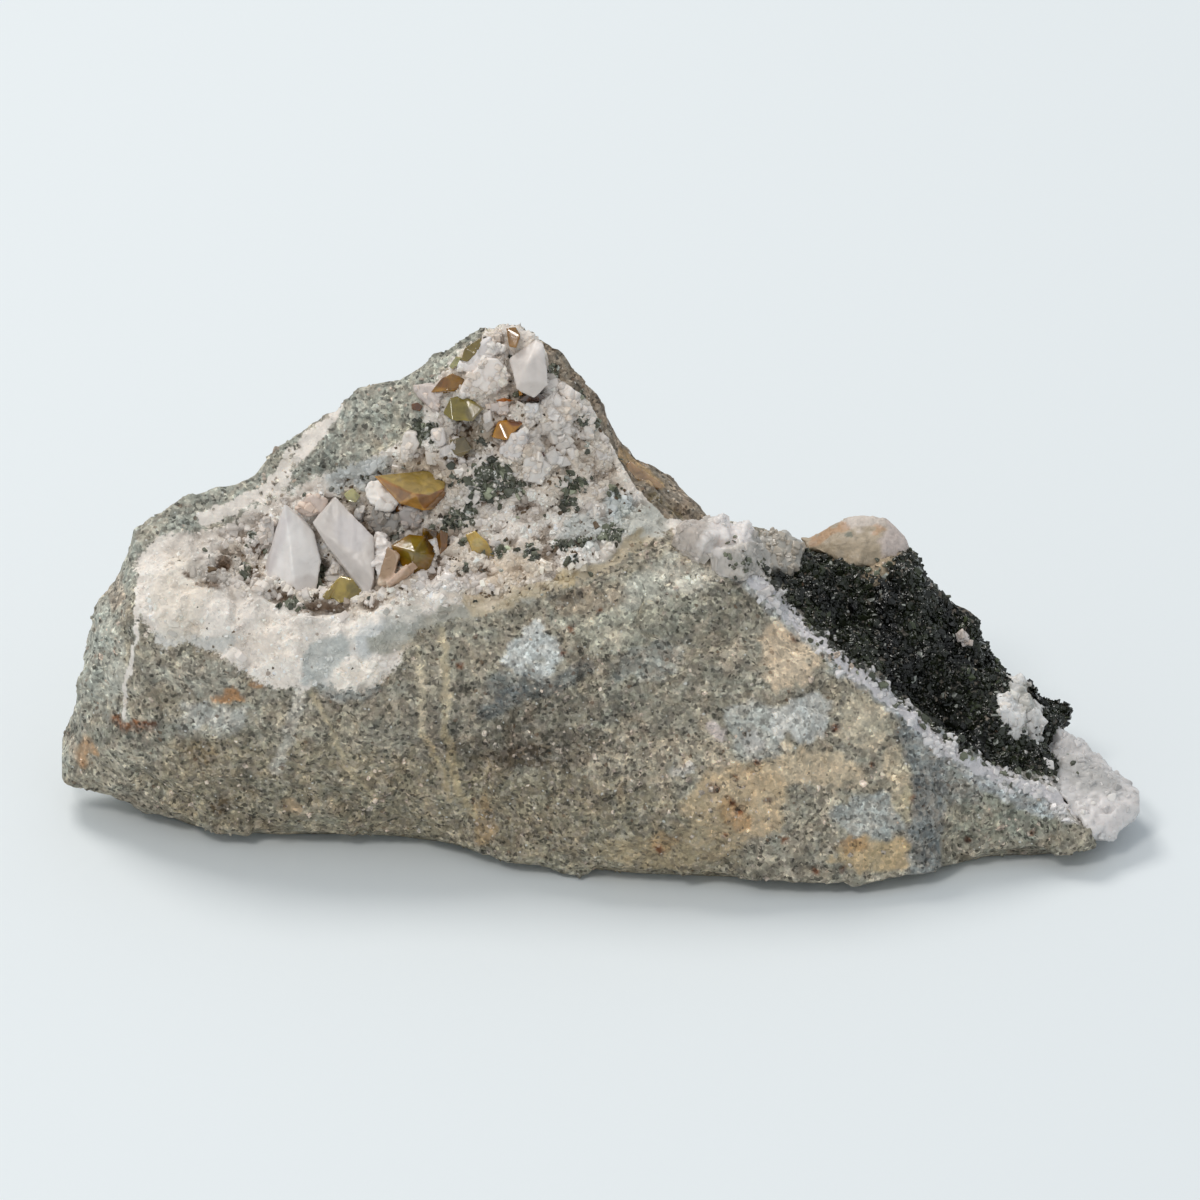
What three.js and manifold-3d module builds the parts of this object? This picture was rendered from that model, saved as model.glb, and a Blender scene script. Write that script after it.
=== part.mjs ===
// A titanite specimen from an Alpine cleft, 120 mm long: a wedge of fine-grained grey-green gneiss with
// a feldspar vein open on its upper slope, milky adularia and amber titanite crystals growing in the
// vein, and a crust of dark chlorite over the lower slope on the right.
// Lengths are in millimetres. +X runs along the stone to the right of its front, +Y to its back, +Z up.
import * as THREE from "three";
import { ConvexGeometry } from "three/addons/geometries/ConvexGeometry.js";
import { ImprovedNoise } from "three/addons/math/ImprovedNoise.js";
import { mergeVertices } from "three/addons/utils/BufferGeometryUtils.js";
import Module from "manifold-3d";

const wasm = await Module();
wasm.setup();

// Driving dimensions.
const WIDEST_STEP = 3.6; // between the stone's cross-sections
const GAP = 0.3; // between touching pieces
const CENTRE_Y = 2; // the middle of the finished stone from front to back, moved to the origin
const LUMP_HEIGHT = 1.4; // of the broken lumps on the rock, and how far apart they are
const LUMP_SPACING = 9;
const CHIP_HEIGHT = 0.9; // of the smaller chips on them
const CHIP_SPACING = 4.2;
const BED_DEPTH = 1.5; // of the shallow beds that the crusts lie in
const BED_EDGE = 2.6; // width of the slope into a bed
const CRUST_LUMP = 0.7; // height of a crust's lumps
const CRUST_GRAIN = 0.5; // height of the smaller lumps on them
const DRUSE_BLOCKS = 32; // small feldspar crystals on the cleft's crust
const DRUSE_SMALLEST = 1.4;
const DRUSE_SPREAD = 2.2; // how much larger the largest is
const DRUSE_APART = 3;
const CHLORITE_KNOBS = 18;
const KNOB_RADIUS = 0.9; // the largest is twice that
const KNOBS_APART = 2;
const SKYLINE = 2.5; // a block just over the skyline takes its footing this far down
const FAR = 60; // beyond the stone on every side
const [DRUSE_SEED, CHLORITE_SEED, CLUMP_SEED] = [71, 1234, 5];

// The stone is described as it is seen from the front, looking down at this angle.
const SIGHT_ELEVATION = THREE.MathUtils.degToRad(30);
const RIGHTWARD = new THREE.Vector3(1, 0, 0);
const UPWARD = new THREE.Vector3(0, Math.sin(SIGHT_ELEVATION), Math.cos(SIGHT_ELEVATION));
const TOWARDS = new THREE.Vector3(0, -Math.cos(SIGHT_ELEVATION), Math.sin(SIGHT_ELEVATION));


// A point that is seen `across` and `up` in the plane square to the line of sight, `back` behind the middle.
function seen([across, up, back]) {
  const height = (up - back * Math.sin(SIGHT_ELEVATION)) / Math.cos(SIGHT_ELEVATION);
  return new THREE.Vector3(across, back, height);
}

// The rails that run the length of the stone. Those on the front are [across, up, back] as seen.
const foot = [
  [-59.8, 2.1, -4], [-57.2, 1.4, -4.5], [-51.1, -0.3, -6], [-45.3, -2.2, -9], [-43.9, -3.3, -10.5],
  [-34, -3.4, -11], [-28.3, -3.1, -10.5], [-21.1, -3.6, -11.5], [-14.4, -5, -14], [-9.4, -6.6, -17],
  [0, -7.6, -19], [7.2, -8.2, -20.5], [12.8, -7.8, -20], [21.1, -9.1, -22], [26.7, -8.8, -21.5],
  [32.8, -8.6, -21], [37.1, -8.1, -20], [37.9, -6.8, -17.6], [41.7, -6.1, -16.5], [45.6, -5.2, -15],
  [51.1, -5.7, -16], [55.3, -5.2, -15], [56.7, -4.8, -14.5], [58.3, -2.8, -12], [59.7, -1, -9.5],
].map(seen);

const jaw = [
  [-59.8, 2.9, -4.6], [-56, 4.2, -6], [-50, 3.2, -9.2], [-44, 2, -12.4], [-34, 2, -13.6],
  [-22, 1.6, -14.2], [-12, 1.2, -15.6], [-4, -0.4, -19.2], [6, -1, -20.4], [14, -1.6, -21.4],
  [22, -2.2, -21], [32, -3, -19.6], [36.4, -3.6, -19], [38, -3.4, -16.2], [46, -3, -14.8],
  [54, -4, -15.2], [58, -2, -12.4], [59.7, -0.7, -9.8],
].map(seen);

const cheek = [
  [-59.8, 3.6, -4.2], [-57, 7.4, -5], [-53, 8, -8.2], [-47, 8.8, -11.4], [-36, 8.2, -14.4],
  [-24, 8, -14.6], [-13, 7, -13.4], [-7, 8, -15.4], [3, 11.6, -15.8], [12, 15.8, -13],
  [17, 16.6, -12], [22, 8, -16.6], [30, 3, -16.4], [36, 0.4, -16.8], [38.6, -0.6, -14.6],
  [46, -1, -13.8], [54, -3.2, -14.4], [58, -1.2, -12], [59.7, -0.3, -9.6],
].map(seen);

const brow = [
  [-59.8, 4, -3.6], [-58.4, 9, -3.6], [-56, 16.6, -4], [-53.4, 22.6, -5], [-51.6, 19, -8],
  [-45, 13.8, -11.6], [-38, 12.6, -13], [-29, 11.4, -13.6], [-24, 12.4, -12.8], [-20, 17.6, -11.4],
  [-12, 20.4, -10.4], [-4, 23.4, -9], [3, 27, -6.6], [11, 28, -3.4], [16, 26.2, -3.6],
  [20, 21.8, -6.6], [26, 16.4, -10], [33.3, 11.1, -12], [40, 6.1, -12.6], [46.7, 1.7, -12.8],
  [53.3, -2.4, -13.6], [57.4, -0.6, -11.6], [59.7, 0, -9],
].map(seen);

const rim = [
  [-59.8, 4.3, -3], [-58.2, 10.6, -2.6], [-55.6, 18.6, -2.2], [-52.4, 26.2, -2], [-49, 25.4, -3.4],
  [-44, 24.4, -4.4], [-38, 22.8, -5.2], [-31, 21.6, -6.2], [-26, 21.8, -6.4], [-20, 24, -6.6],
  [-12, 25, -6.2], [-4, 26.6, -5.6], [3, 29.4, -3.6], [11, 29.2, -1.6], [16, 27.4, -1.8],
  [21, 22.6, -3.4], [27, 17.4, -6], [33.3, 12.6, -8], [40, 7.4, -9.6], [46.7, 2.8, -10.6],
  [53.3, -1.2, -12], [57.4, 0.2, -10.4], [59.7, 0.2, -8.4],
].map(seen);

const hollow = [
  [-59.8, 4.5, -2.2], [-58, 11, -1.4], [-55.2, 20.2, -0.8], [-52, 27.4, 0], [-47, 28.4, 0.2],
  [-40, 27, 1.2], [-33, 25.6, 0.8], [-28, 25, 0.2], [-22, 28, 0.4], [-14, 30.6, 0.6],
  [-6, 33.4, 0.8], [2, 34, 1.4], [8, 31.6, 2.2], [13, 30, 2.4], [17, 28.4, 2.4],
  [22, 24.6, 1.6], [28, 20.2, -0.4], [34, 16.6, -2], [40, 11.1, -4.2], [46.7, 6.4, -6],
  [53.3, 1.6, -8], [57.6, 1.2, -8.4], [59.7, 0.4, -7.4],
].map(seen);

const slope = [
  [-59.8, 4.8, -1.2], [-57.8, 12, -0.4], [-55, 21.2, 0.4], [-51.8, 29, 1.2], [-46, 31.6, 2.8],
  [-40, 32, 4], [-33, 34.6, 4.6], [-27, 37.4, 4.8], [-20, 41, 5], [-13, 43.4, 5.4],
  [-8, 43.6, 5.6], [-2, 40.4, 5.6], [3, 36.4, 5.4], [8, 33.6, 5], [13, 30.6, 5.4],
  [18, 29.2, 6], [23, 27, 6], [28, 27, 5], [33.6, 24.6, 3.6], [39, 16.6, 1.6],
  [46, 10.4, -1.4], [53, 4.4, -4], [57.6, 2, -6.6], [59.7, 0.6, -6.4],
].map(seen);

const crest = [
  [-59.8, 5.1, -0.4], [-58.9, 7.4, 0], [-57.3, 14.7, 0.6], [-54.9, 21.9, 1.4], [-52.2, 28.2, 2],
  [-51.6, 30, 2.6], [-48, 32.6, 4], [-45.6, 34.2, 5], [-40, 35.3, 7], [-35.6, 38.7, 8],
  [-30.9, 41.7, 9], [-26.7, 45, 10], [-21.7, 46.8, 10.6], [-18.1, 49.8, 11], [-12.8, 52.6, 11],
  [-8.7, 53.2, 10.4], [-7.2, 51.4, 9.8], [-2.2, 47.4, 9], [-0.2, 44.2, 9], [2.6, 40.2, 9],
  [4.6, 38, 9], [8, 35.6, 8.4], [10.4, 32.4, 7.6], [11.7, 31.3, 7.4], [15.8, 31, 8],
  [18.9, 29.7, 9], [23.6, 28.8, 10], [26.4, 30.6, 10.4], [28.9, 31.4, 10.6], [31.7, 31.3, 10.4],
  [34.2, 29, 9.6], [37.1, 24, 8.4], [39.9, 20, 7], [42.8, 16.2, 5.6], [45.4, 13.9, 4.6],
  [47.8, 12, 3.2], [50.9, 9.4, 1.2], [53.9, 5.9, -1], [57.2, 2.9, -4], [59.7, 0.8, -6],
].map(seen);

// The rails on the broken back and the underside are plain [x, y, z].
const points = (list) => list.map((p) => new THREE.Vector3(...p));

const shoulder = points([
  [-59.8, 0.4, 5.4], [-55, 3.4, 19], [-51, 6, 26], [-40, 13, 31], [-28, 15, 38], [-18, 18, 42],
  [-10, 17, 46], [-3, 14.6, 40], [4, 13.6, 32], [11, 12, 27.6], [20, 15, 23], [29, 17, 24],
  [36, 14.6, 19], [44, 11, 12], [52, 5, 6.4], [59.7, -5.4, 3.9],
]);

const nape = points([
  [-59.8, 0.8, 4.8], [-55, 5.4, 12], [-49, 10, 18], [-40, 17.6, 21], [-29, 20.4, 26], [-17, 23.6, 28],
  [-8, 24, 30], [2, 20, 24], [12, 17.4, 19], [21, 20.6, 15], [30, 22, 14.6], [38, 17.8, 11],
  [46, 12.6, 6.6], [53, 5.6, 3.8], [59.7, -5.6, 3.4],
]);

const rump = points([
  [-59.8, 0.6, 4.2], [-54, 5, 5.4], [-48, 10.4, 8], [-38, 18.4, 10], [-27, 22, 12], [-16, 25, 13],
  [-5, 25.6, 12], [6, 22.4, 9], [16, 21, 7], [26, 23, 6.4], [35, 20, 5.4], [44, 14, 3.4],
  [52, 6.4, 2.4], [59.7, -6, 3],
]);

const heel = points([
  [-59.8, -0.4, 3.7], [-53, 1.4, 2], [-46, 6, 0], [-38, 14, 0], [-26, 19.4, 0], [-14, 21.6, 0],
  [-4, 22, 0], [8, 18.4, 0], [18, 17.6, 0], [28, 19, 0], [36, 15, 0], [43, 9, 0], [50, 0, 0],
  [56, -5.4, 1.6], [59.7, -6.8, 2.8],
]);

const sole = points([
  [-59.8, -2.8, 3.5], [-53, -2.4, 2], [-46, -5.4, 0], [-38, -7.4, 0], [-24, -7.6, 0], [-14, -10, 0],
  [-6, -14, 0], [4, -16, 0], [16, -17, 0], [28, -17.4, 0], [36, -15.6, 0], [43, -12.4, 0],
  [50, -12, 0], [56, -11.4, 1.4], [59.7, -8.4, 2.8],
]);

// Outlines on the stone as [across, up], anticlockwise as seen.
const VEIN_OUTLINE = [
  [-50.9, 22], [-50, 17.8], [-45.6, 15.3], [-38.9, 13.3], [-30, 12], [-25.3, 12.4], [-21.7, 16.4],
  [-18.9, 19.1], [-11.1, 20.6], [-6.7, 22.2], [0, 25.6], [5.6, 28.3], [9.6, 30.4], [5.4, 34],
  [2.2, 39.6], [-0.8, 44.6], [-4.2, 48.6], [-7.4, 51.8], [-11.1, 52], [-15, 50.4], [-17.8, 47.2],
  [-19.4, 42.2], [-22.2, 38.3], [-26.1, 36.4], [-30, 35.3], [-34.4, 34.2], [-37.6, 32.2],
  [-40, 28.6], [-44.4, 28], [-48.3, 28.3], [-50.9, 26.7],
];
const CHLORITE_OUTLINE = [
  [17.8, 25.6], [21.4, 21.4], [25.6, 17.4], [33.3, 11.7], [40, 6.1], [45.6, 2.8], [49.4, 1.7],
  [52.4, 4], [54, 8.4], [51, 12.4], [46, 16.4], [42, 22], [38.4, 26], [35.6, 28.6], [33.9, 27.4],
  [28.9, 25.6], [22.2, 27.6], [18.9, 27.8],
];
const LOBE_OUTLINE = [
  [23.4, 28.2], [28.9, 26.1], [33.9, 27.9], [35.9, 29.1], [39, 26.4], [42, 40], [23, 40],
];
const TIP_OUTLINE = [[50.2, 6], [50.6, 2.4], [54.6, -3.4], [56, -8], [64, -8], [64, 12], [52, 12]];

// Each zone of another mineral: its outline, and how far toward the eye it starts.
const VEIN = { outline: VEIN_OUTLINE, back: 4 };
const CHLORITE = { outline: CHLORITE_OUTLINE, back: -3 };
const LOBE = { outline: LOBE_OUTLINE, back: -12 };
const TIP = { outline: TIP_OUTLINE, back: -FAR };

// Quartz blocks fused in a clump, [across, up, size]: white ones grown on the chlorite, and grey ones
// in the saddle left of the lobe.
const QUARTZ_CLUMP = [
  [45.2, 12.2, 2.8], [46.2, 10.8, 4], [44.8, 9.4, 3.2], [46.6, 9, 3.6], [48, 10.6, 2.6],
  [47.4, 7.8, 2.8], [45.6, 7.8, 2.8],
];
const SADDLE_CLUMP = [
  [10.8, 28.9, 3.6], [13, 28.8, 3.9], [15.4, 28.2, 4.2], [18, 27.6, 3.8], [20.2, 27, 3.2], [14.6, 26.6, 3.2],
  [17, 26.2, 3.2],
];

// The crystals of the cleft. A crystal is one convex form, or several grown together, each given by its
// corners as [across, up, lift]: lift is toward the eye from the crust at `at`.
const MILKY = { color: 0xe6dfdc, roughness: 0.35 };
const PINKISH = { color: 0xd9b9a6, roughness: 0.4 };
const AMBER = { color: 0x8a6420, roughness: 0.15 };
const OLIVE = { color: 0x8a8136, roughness: 0.15 };
const CRYSTALS = {
  adularia_tent: {
    look: MILKY,
    at: [-35, 27],
    forms: [
      [
        [-35.1, 32.9, 3], [-38, 23.8, 2.5], [-33.3, 22.2, 4.8], [-31.9, 23.1, 4.2], [-31.1, 26.6, 2.4],
        [-31.8, 29.7, 1.8], [-36.5, 24.5, -1.8], [-33, 24, -1.8], [-34.6, 31, -1.4], [-32.6, 28, -1.4],
      ],
    ],
  },
  adularia_slab: {
    look: MILKY,
    at: [-28.5, 28],
    forms: [
      [
        [-29.4, 33.7, 2.4], [-32, 30.8, 3], [-25.2, 29.2, 3.8], [-25.2, 24.6, 4.8], [-25.9, 23, 4.6],
        [-29.4, 32.8, -0.4], [-31, 30.4, 0], [-25.8, 28.6, -1], [-26.4, 24.6, -0.6],
      ],
    ],
  },
  adularia_shield: {
    look: MILKY,
    at: [-24.3, 34],
    forms: [
      [
        [-26.1, 34.6, 1.2], [-24.7, 35.6, 1], [-22.2, 33.3, 1.8], [-23.4, 32.2, 2.2], [-25.6, 32.8, 1.8],
        [-25.4, 34.4, -1.4], [-23.2, 33, -1.4],
      ],
    ],
  },
  adularia_block: {
    look: MILKY,
    at: [-24.4, 27.4],
    forms: [
      [
        [-25.6, 29, 2.4], [-24.4, 29.7, 2.2], [-23.3, 28.4, 2.6], [-23.5, 26.2, 3.6], [-24.6, 25, 4],
        [-25.2, 26, 4], [-25, 28.4, -1.2], [-24, 27, -1.2],
      ],
    ],
  },
  adularia_peak: {
    look: MILKY,
    at: [-8, 48],
    forms: [
      [
        [-10, 48.9, 1.4], [-7, 51.2, 1.2], [-6.2, 50.6, 1.8], [-5.8, 46.1, 2.6], [-7.3, 44.7, 2.8],
        [-9.2, 45.7, 2.6], [-8, 48.4, 3.2], [-8.8, 48.4, -1.6], [-6.8, 49.6, -1.6], [-7, 46, -1.6],
      ],
    ],
  },
  titanite_main: {
    look: AMBER,
    at: [-20.5, 34.3],
    forms: [
      [
        [-25.1, 36, 1.8], [-18.8, 36.5, 1.2], [-17.1, 35.2, 1.8], [-17.4, 34.4, 3], [-17, 33.2, 1.8],
        [-19.6, 32.2, 2.2], [-22.3, 33, 2.2], [-20.4, 33.8, 3.8], [-22, 35.4, -1.4], [-18.4, 35.6, -1.4],
        [-18.4, 33.4, -1.4], [-21.4, 33.8, -1.4],
      ],
    ],
  },
  titanite_olive: {
    look: OLIVE,
    at: [-20.4, 27.6],
    forms: [
      [
        [-23, 28.2, 2.6], [-21.1, 29.3, 2.2], [-19.6, 29.1, 2.4], [-18.2, 27.6, 2.6], [-18.8, 26.2, 3.2],
        [-20.8, 25.6, 3.6], [-20.6, 27.5, 4.4], [-22, 27.6, -1.4], [-19.4, 28.2, -1.4], [-20, 26.6, -1],
      ],
      [
        [-19.6, 30.1, 1.4], [-18.2, 29.8, 1.6], [-17.6, 28.6, 1.6], [-18.2, 27.3, 1.8],
        [-19.4, 28.6, -1.2], [-18.4, 28.4, -1.2], [-20, 28, 0.6],
      ],
    ],
  },
  adularia_pink_prism: {
    look: PINKISH,
    at: [-20.4, 27.6],
    forms: [
      [
        [-23.9, 24.1, 5.2], [-23.2, 23.5, 5], [-20.2, 25.8, 5.4], [-20.8, 26.6, 5.6], [-23.6, 24.4, 3.9],
        [-23, 23.8, 3.7], [-20.6, 26.2, 4.7],
      ],
      [
        [-24.2, 25.4, 3.8], [-23.6, 28.2, 3.4], [-22.2, 27.2, 4.4], [-23, 24.6, 5], [-24.8, 24, 4.2],
        [-23.8, 27.4, -1.2], [-23.8, 25.2, -1], [-24.6, 23.4, 2.6],
      ],
    ],
  },
  titanite_seed: {
    look: OLIVE,
    at: [-13.4, 28],
    forms: [
      [
        [-14.9, 29.5, 1.2], [-13.9, 29.9, 1.2], [-12.6, 28.7, 1.6], [-12, 27.2, 1.4], [-12.6, 26.3, 1.4],
        [-13.4, 27, 1.8], [-14.4, 28.6, 1.8], [-13.8, 28.8, -1.2], [-12.8, 27.4, -1.2],
      ],
    ],
  },
  titanite_plate: {
    look: OLIVE,
    at: [-29.5, 23.3],
    forms: [
      [
        [-32, 22.3, 1.8], [-30.6, 23.4, 1.6], [-28.8, 24.5, 1.4], [-27.7, 24.2, 1.6], [-26.9, 23.4, 1.8],
        [-27.9, 22.7, 2.2], [-30, 22, 2.4], [-30.4, 22.9, -1.2], [-28.2, 23.6, -1.2],
      ],
    ],
  },
  titanite_upper_amber: {
    look: AMBER,
    at: [-16.8, 46.3],
    forms: [
      [
        [-18.8, 45.3, 0.9], [-17.6, 46.8, 1.2], [-16.4, 47.4, 1.4], [-14.8, 46.6, 1.2], [-15.6, 45.1, 1.6],
        [-17, 45.5, 2], [-17.6, 46, -1.2], [-16, 46.2, -1.2],
      ],
    ],
  },
  titanite_upper_olive: {
    look: OLIVE,
    at: [-15.2, 43.5],
    forms: [
      [
        [-17.4, 43, 1], [-16.6, 44.6, 1.2], [-15, 44.7, 1.6], [-13, 43.5, 1.4], [-14.2, 42.1, 1.6],
        [-16.4, 42.2, 1.8], [-16.4, 43.6, -1.2], [-14.4, 43.4, -1.2],
      ],
    ],
  },
  titanite_blade: {
    look: OLIVE,
    at: [-14.2, 50.1],
    forms: [
      [
        [-15.4, 48.9, 1], [-15, 50.2, 1.1], [-13.4, 51.3, 1], [-13, 51, 1.2], [-13.9, 49.6, 1.5],
        [-14.8, 48.7, 1.3], [-14.6, 49.6, -1.2], [-13.6, 50.6, -1],
      ],
    ],
  },
  titanite_peak: {
    look: AMBER,
    at: [-9.7, 51.3],
    forms: [
      [
        [-10.4, 52.4, 0.9], [-9.4, 52.5, 0.9], [-8.9, 51.6, 1.3], [-9.3, 50.2, 1.4], [-10.1, 50.4, 1.2],
        [-9.9, 51.8, -1], [-9.5, 50.9, -1],
      ],
    ],
  },
  titanite_orange: {
    look: AMBER,
    at: [-10.2, 41.3],
    forms: [
      [
        [-11.8, 40.4, 1.1], [-11.2, 41.9, 1.1], [-9, 42.5, 1], [-8.8, 41.8, 1.3], [-10.4, 40.1, 1.7],
        [-10.8, 41.2, -1.2], [-9.6, 41.8, -1.2],
      ],
    ],
  },
  titanite_edge: {
    look: AMBER,
    at: [4.6, 36.2],
    forms: [
      [
        [2.9, 37.3, 0.6], [3.4, 37.7, 0.5], [7, 35, 0.5], [6.8, 34.6, 0.8], [3.8, 36.4, 1],
        [4, 36.8, -1.4], [6, 35.4, -1.4],
      ],
    ],
  },
  titanite_yellow: {
    look: OLIVE,
    at: [-27.4, 33.9],
    forms: [
      [
        [-28.5, 34, 0.9], [-27.6, 34.6, 0.9], [-26.7, 33.8, 1.1], [-27.2, 33.1, 1.4], [-28, 33.2, 1.3],
        [-27.8, 33.8, -1], [-27.2, 33.8, -1],
      ],
    ],
  },
};

// Each rail in its order round a cross-section, with the number of steps from it to the next.
const RINGS = [
  [sole, 1], [foot, 2], [jaw, 2], [cheek, 4], [brow, 2], [rim, 2], [hollow, 3], [slope, 3], [crest, 2],
  [shoulder, 3], [nape, 3], [rump, 2], [heel, 3],
];

// Where a rail stands at one place along the stone, straight between its points.
function railAt(rail, x) {
  const next = Math.max(1, rail.findIndex((p) => p.x >= x));
  const [a, b] = [rail[next - 1], rail[next]];
  return a.clone().lerp(b, THREE.MathUtils.clamp((x - a.x) / (b.x - a.x), 0, 1));
}

// The cross-sections stand where the skyline turns, and halfway where that leaves them far apart.
function stations() {
  const turns = crest.map((p) => p.x);
  return turns.flatMap((x, i) => {
    const next = turns[i + 1] ?? x;
    return next - x > WIDEST_STEP ? [x, (x + next) / 2] : [x];
  });
}

// One closed cross-section: the points round the stone at x.
function section(x) {
  const ring = [];
  RINGS.forEach(([rail, steps], i) => {
    const from = railAt(rail, x);
    const to = railAt(RINGS[(i + 1) % RINGS.length][0], x);
    for (let s = 0; s < steps; s++) ring.push(from.clone().lerp(to, s / steps));
  });
  return ring;
}

// The stone's skin: cross-sections joined by triangles, with a fan over each end.
function loftedStone() {
  const rings = stations().map(section);
  const round = rings[0].length;
  const position = rings.flat().flatMap((p) => p.toArray());
  const index = [];
  for (let s = 0; s < rings.length - 1; s++) {
    for (let i = 0; i < round; i++) {
      const [a, b] = [s * round + i, s * round + ((i + 1) % round)];
      const [c, d] = [a + round, b + round];
      // The diagonal turns about from cell to cell, so that no grain shows in the facets.
      if ((s + i) % 2) index.push(a, c, b, b, c, d);
      else index.push(a, c, d, a, d, b);
    }
  }
  for (const [ring, first, flip] of [[rings[0], 0, false], [rings.at(-1), (rings.length - 1) * round, true]]) {
    const middle = ring.reduce((sum, p) => sum.add(p), new THREE.Vector3()).divideScalar(round);
    const hub = position.length / 3;
    position.push(...middle.toArray());
    for (let i = 0; i < round; i++) {
      const [a, b] = [first + i, first + ((i + 1) % round)];
      index.push(...(flip ? [hub, b, a] : [hub, a, b]));
    }
  }
  const geometry = new THREE.BufferGeometry();
  geometry.setAttribute("position", new THREE.Float32BufferAttribute(position, 3));
  geometry.setIndex(index);
  return geometry;
}

const perlin = new ImprovedNoise();

// Smooth noise from -1 to 1 whose bumps are about `size` mm apart.
function noise(p, size, seed = 0) {
  return perlin.noise(p.x / size + seed, p.y / size + seed * 2, p.z / size - seed);
}

// The same mesh with each point moved out along its normal by height(point, its number).
function pushedOut(geometry, height) {
  const moved = geometry.clone();
  moved.computeVertexNormals();
  const [position, normal] = [moved.getAttribute("position"), moved.getAttribute("normal")];
  const [p, n] = [new THREE.Vector3(), new THREE.Vector3()];
  for (let i = 0; i < position.count; i++) {
    p.fromBufferAttribute(position, i);
    n.fromBufferAttribute(normal, i);
    p.addScaledVector(n, height(p, i));
    position.setXYZ(i, p.x, p.y, p.z);
  }
  return moved;
}

// The row of a cross-section that lies on a rail.
function rowOf(rail) {
  const place = RINGS.findIndex(([other]) => other === rail);
  return RINGS.slice(0, place).reduce((sum, [, steps]) => sum + steps, 0);
}
const ROUND = RINGS.reduce((sum, [, steps]) => sum + steps, 0);
const DRAWN_ROWS = [rowOf(foot), rowOf(crest)];

// Broken lumps and ledges. The outline drawn by foot and crest, the flat that the stone rests on, and
// the rock just over it, stay as they are.
function fracture(p, i) {
  const fromDrawn = Math.min(...DRAWN_ROWS.map((row) => Math.abs((i % ROUND) - row)));
  const clear = THREE.MathUtils.smoothstep(p.z, 0.2, 4) * THREE.MathUtils.smoothstep(fromDrawn, 0, 2);
  return clear * (LUMP_HEIGHT * noise(p, LUMP_SPACING, 3.7) + CHIP_HEIGHT * noise(p, CHIP_SPACING, 11.3));
}

function solid(geometry) {
  const bare = geometry.clone();
  bare.deleteAttribute("normal");
  bare.deleteAttribute("uv");
  const merged = mergeVertices(bare, 1e-3);
  return new wasm.Manifold(
    new wasm.Mesh({
      numProp: 3,
      vertProperties: new Float32Array(merged.getAttribute("position").array),
      triVerts: new Uint32Array(merged.index.array),
    }),
  );
}

// The largest body of a solid, without the crumbs that a cut can leave.
function largest(shape) {
  return shape.decompose().reduce((a, b) => (b.volume() > a.volume() ? b : a));
}

function geometryOf(shape) {
  const { vertProperties, triVerts, numProp } = shape.getMesh();
  const count = vertProperties.length / numProp;
  const position = new Float32Array(count * 3);
  for (let i = 0; i < count; i++) {
    position.set(vertProperties.subarray(i * numProp, i * numProp + 3), i * 3);
  }
  const geometry = new THREE.BufferGeometry();
  geometry.setAttribute("position", new THREE.BufferAttribute(position, 3));
  geometry.setIndex(new THREE.BufferAttribute(triVerts, 1));
  return geometry;
}

// How far inside an outline a place of the view is, in millimetres. Outside, it is negative.
function insideBy(outline, x, y) {
  const place = new THREE.Vector3(x, y, 0);
  const side = new THREE.Line3();
  let odd = false;
  let nearest = Infinity;
  outline.forEach(([ax, ay], i) => {
    const [bx, by] = outline.at(i - 1);
    side.start.set(ax, ay, 0);
    side.end.set(bx, by, 0);
    nearest = Math.min(nearest, side.closestPointToPoint(place, true, new THREE.Vector3()).distanceTo(place));
    if (ay > y !== by > y && x < ((bx - ax) * (y - ay)) / (by - ay) + ax) odd = !odd;
  });
  return odd ? nearest : -nearest;
}

// 1 well inside the bed of a crust, 0 outside it.
function bedAt({ outline, back }, p) {
  const inside = insideBy(outline, p.dot(RIGHTWARD), p.dot(UPWARD));
  const front = THREE.MathUtils.smoothstep(p.dot(TOWARDS), back, back + 4);
  return front * THREE.MathUtils.smoothstep(inside, -BED_EDGE / 2, BED_EDGE / 2);
}

const bedDrop = (p) => BED_DEPTH * Math.max(bedAt(VEIN, p), bedAt(CHLORITE, p));
const stoneSkin = pushedOut(loftedStone(), (p, i) => fracture(p, i) - bedDrop(p));

function fromSight(across, up, toward) {
  return new THREE.Vector3()
    .addScaledVector(RIGHTWARD, across)
    .addScaledVector(UPWARD, up)
    .addScaledVector(TOWARDS, toward);
}

// A zone's outline as a solid along the line of sight, its sides `margin` outside the outline.
function sightPrism({ outline, back }, margin) {
  const corners = outline.map(([x, y]) => new THREE.Vector2(x, y));
  const moved = corners.map((corner, i) => {
    const along = corners[(i + 1) % corners.length].clone().sub(corners.at(i - 1)).normalize();
    return new THREE.Vector2(corner.x + along.y * margin, corner.y - along.x * margin);
  });
  const prism = new THREE.ExtrudeGeometry(new THREE.Shape(moved), { depth: FAR - back, bevelEnabled: false });
  prism.translate(0, 0, back - margin);
  prism.applyMatrix4(new THREE.Matrix4().makeBasis(RIGHTWARD, UPWARD, TOWARDS));
  return solid(prism);
}

// Repeatable numbers from 0 to 1.
function dice(seed) {
  let state = seed;
  return () => {
    state = (state * 16807) % 2147483647;
    return state / 2147483647;
  };
}

// How far toward the eye the stone's skin is at one place of the view.
const skinMesh = new THREE.Mesh(stoneSkin);
const ray = new THREE.Raycaster();
function skinAt(across, up) {
  ray.set(fromSight(across, up, FAR), TOWARDS.clone().negate());
  const [hit] = ray.intersectObject(skinMesh);
  return hit ? hit.point.dot(TOWARDS) : undefined;
}

function cornersOf(geometry) {
  const position = geometry.getAttribute("position");
  return Array.from({ length: position.count }, (_, i) => new THREE.Vector3().fromBufferAttribute(position, i));
}

function hull(corners) {
  return solid(new ConvexGeometry(corners));
}

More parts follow.
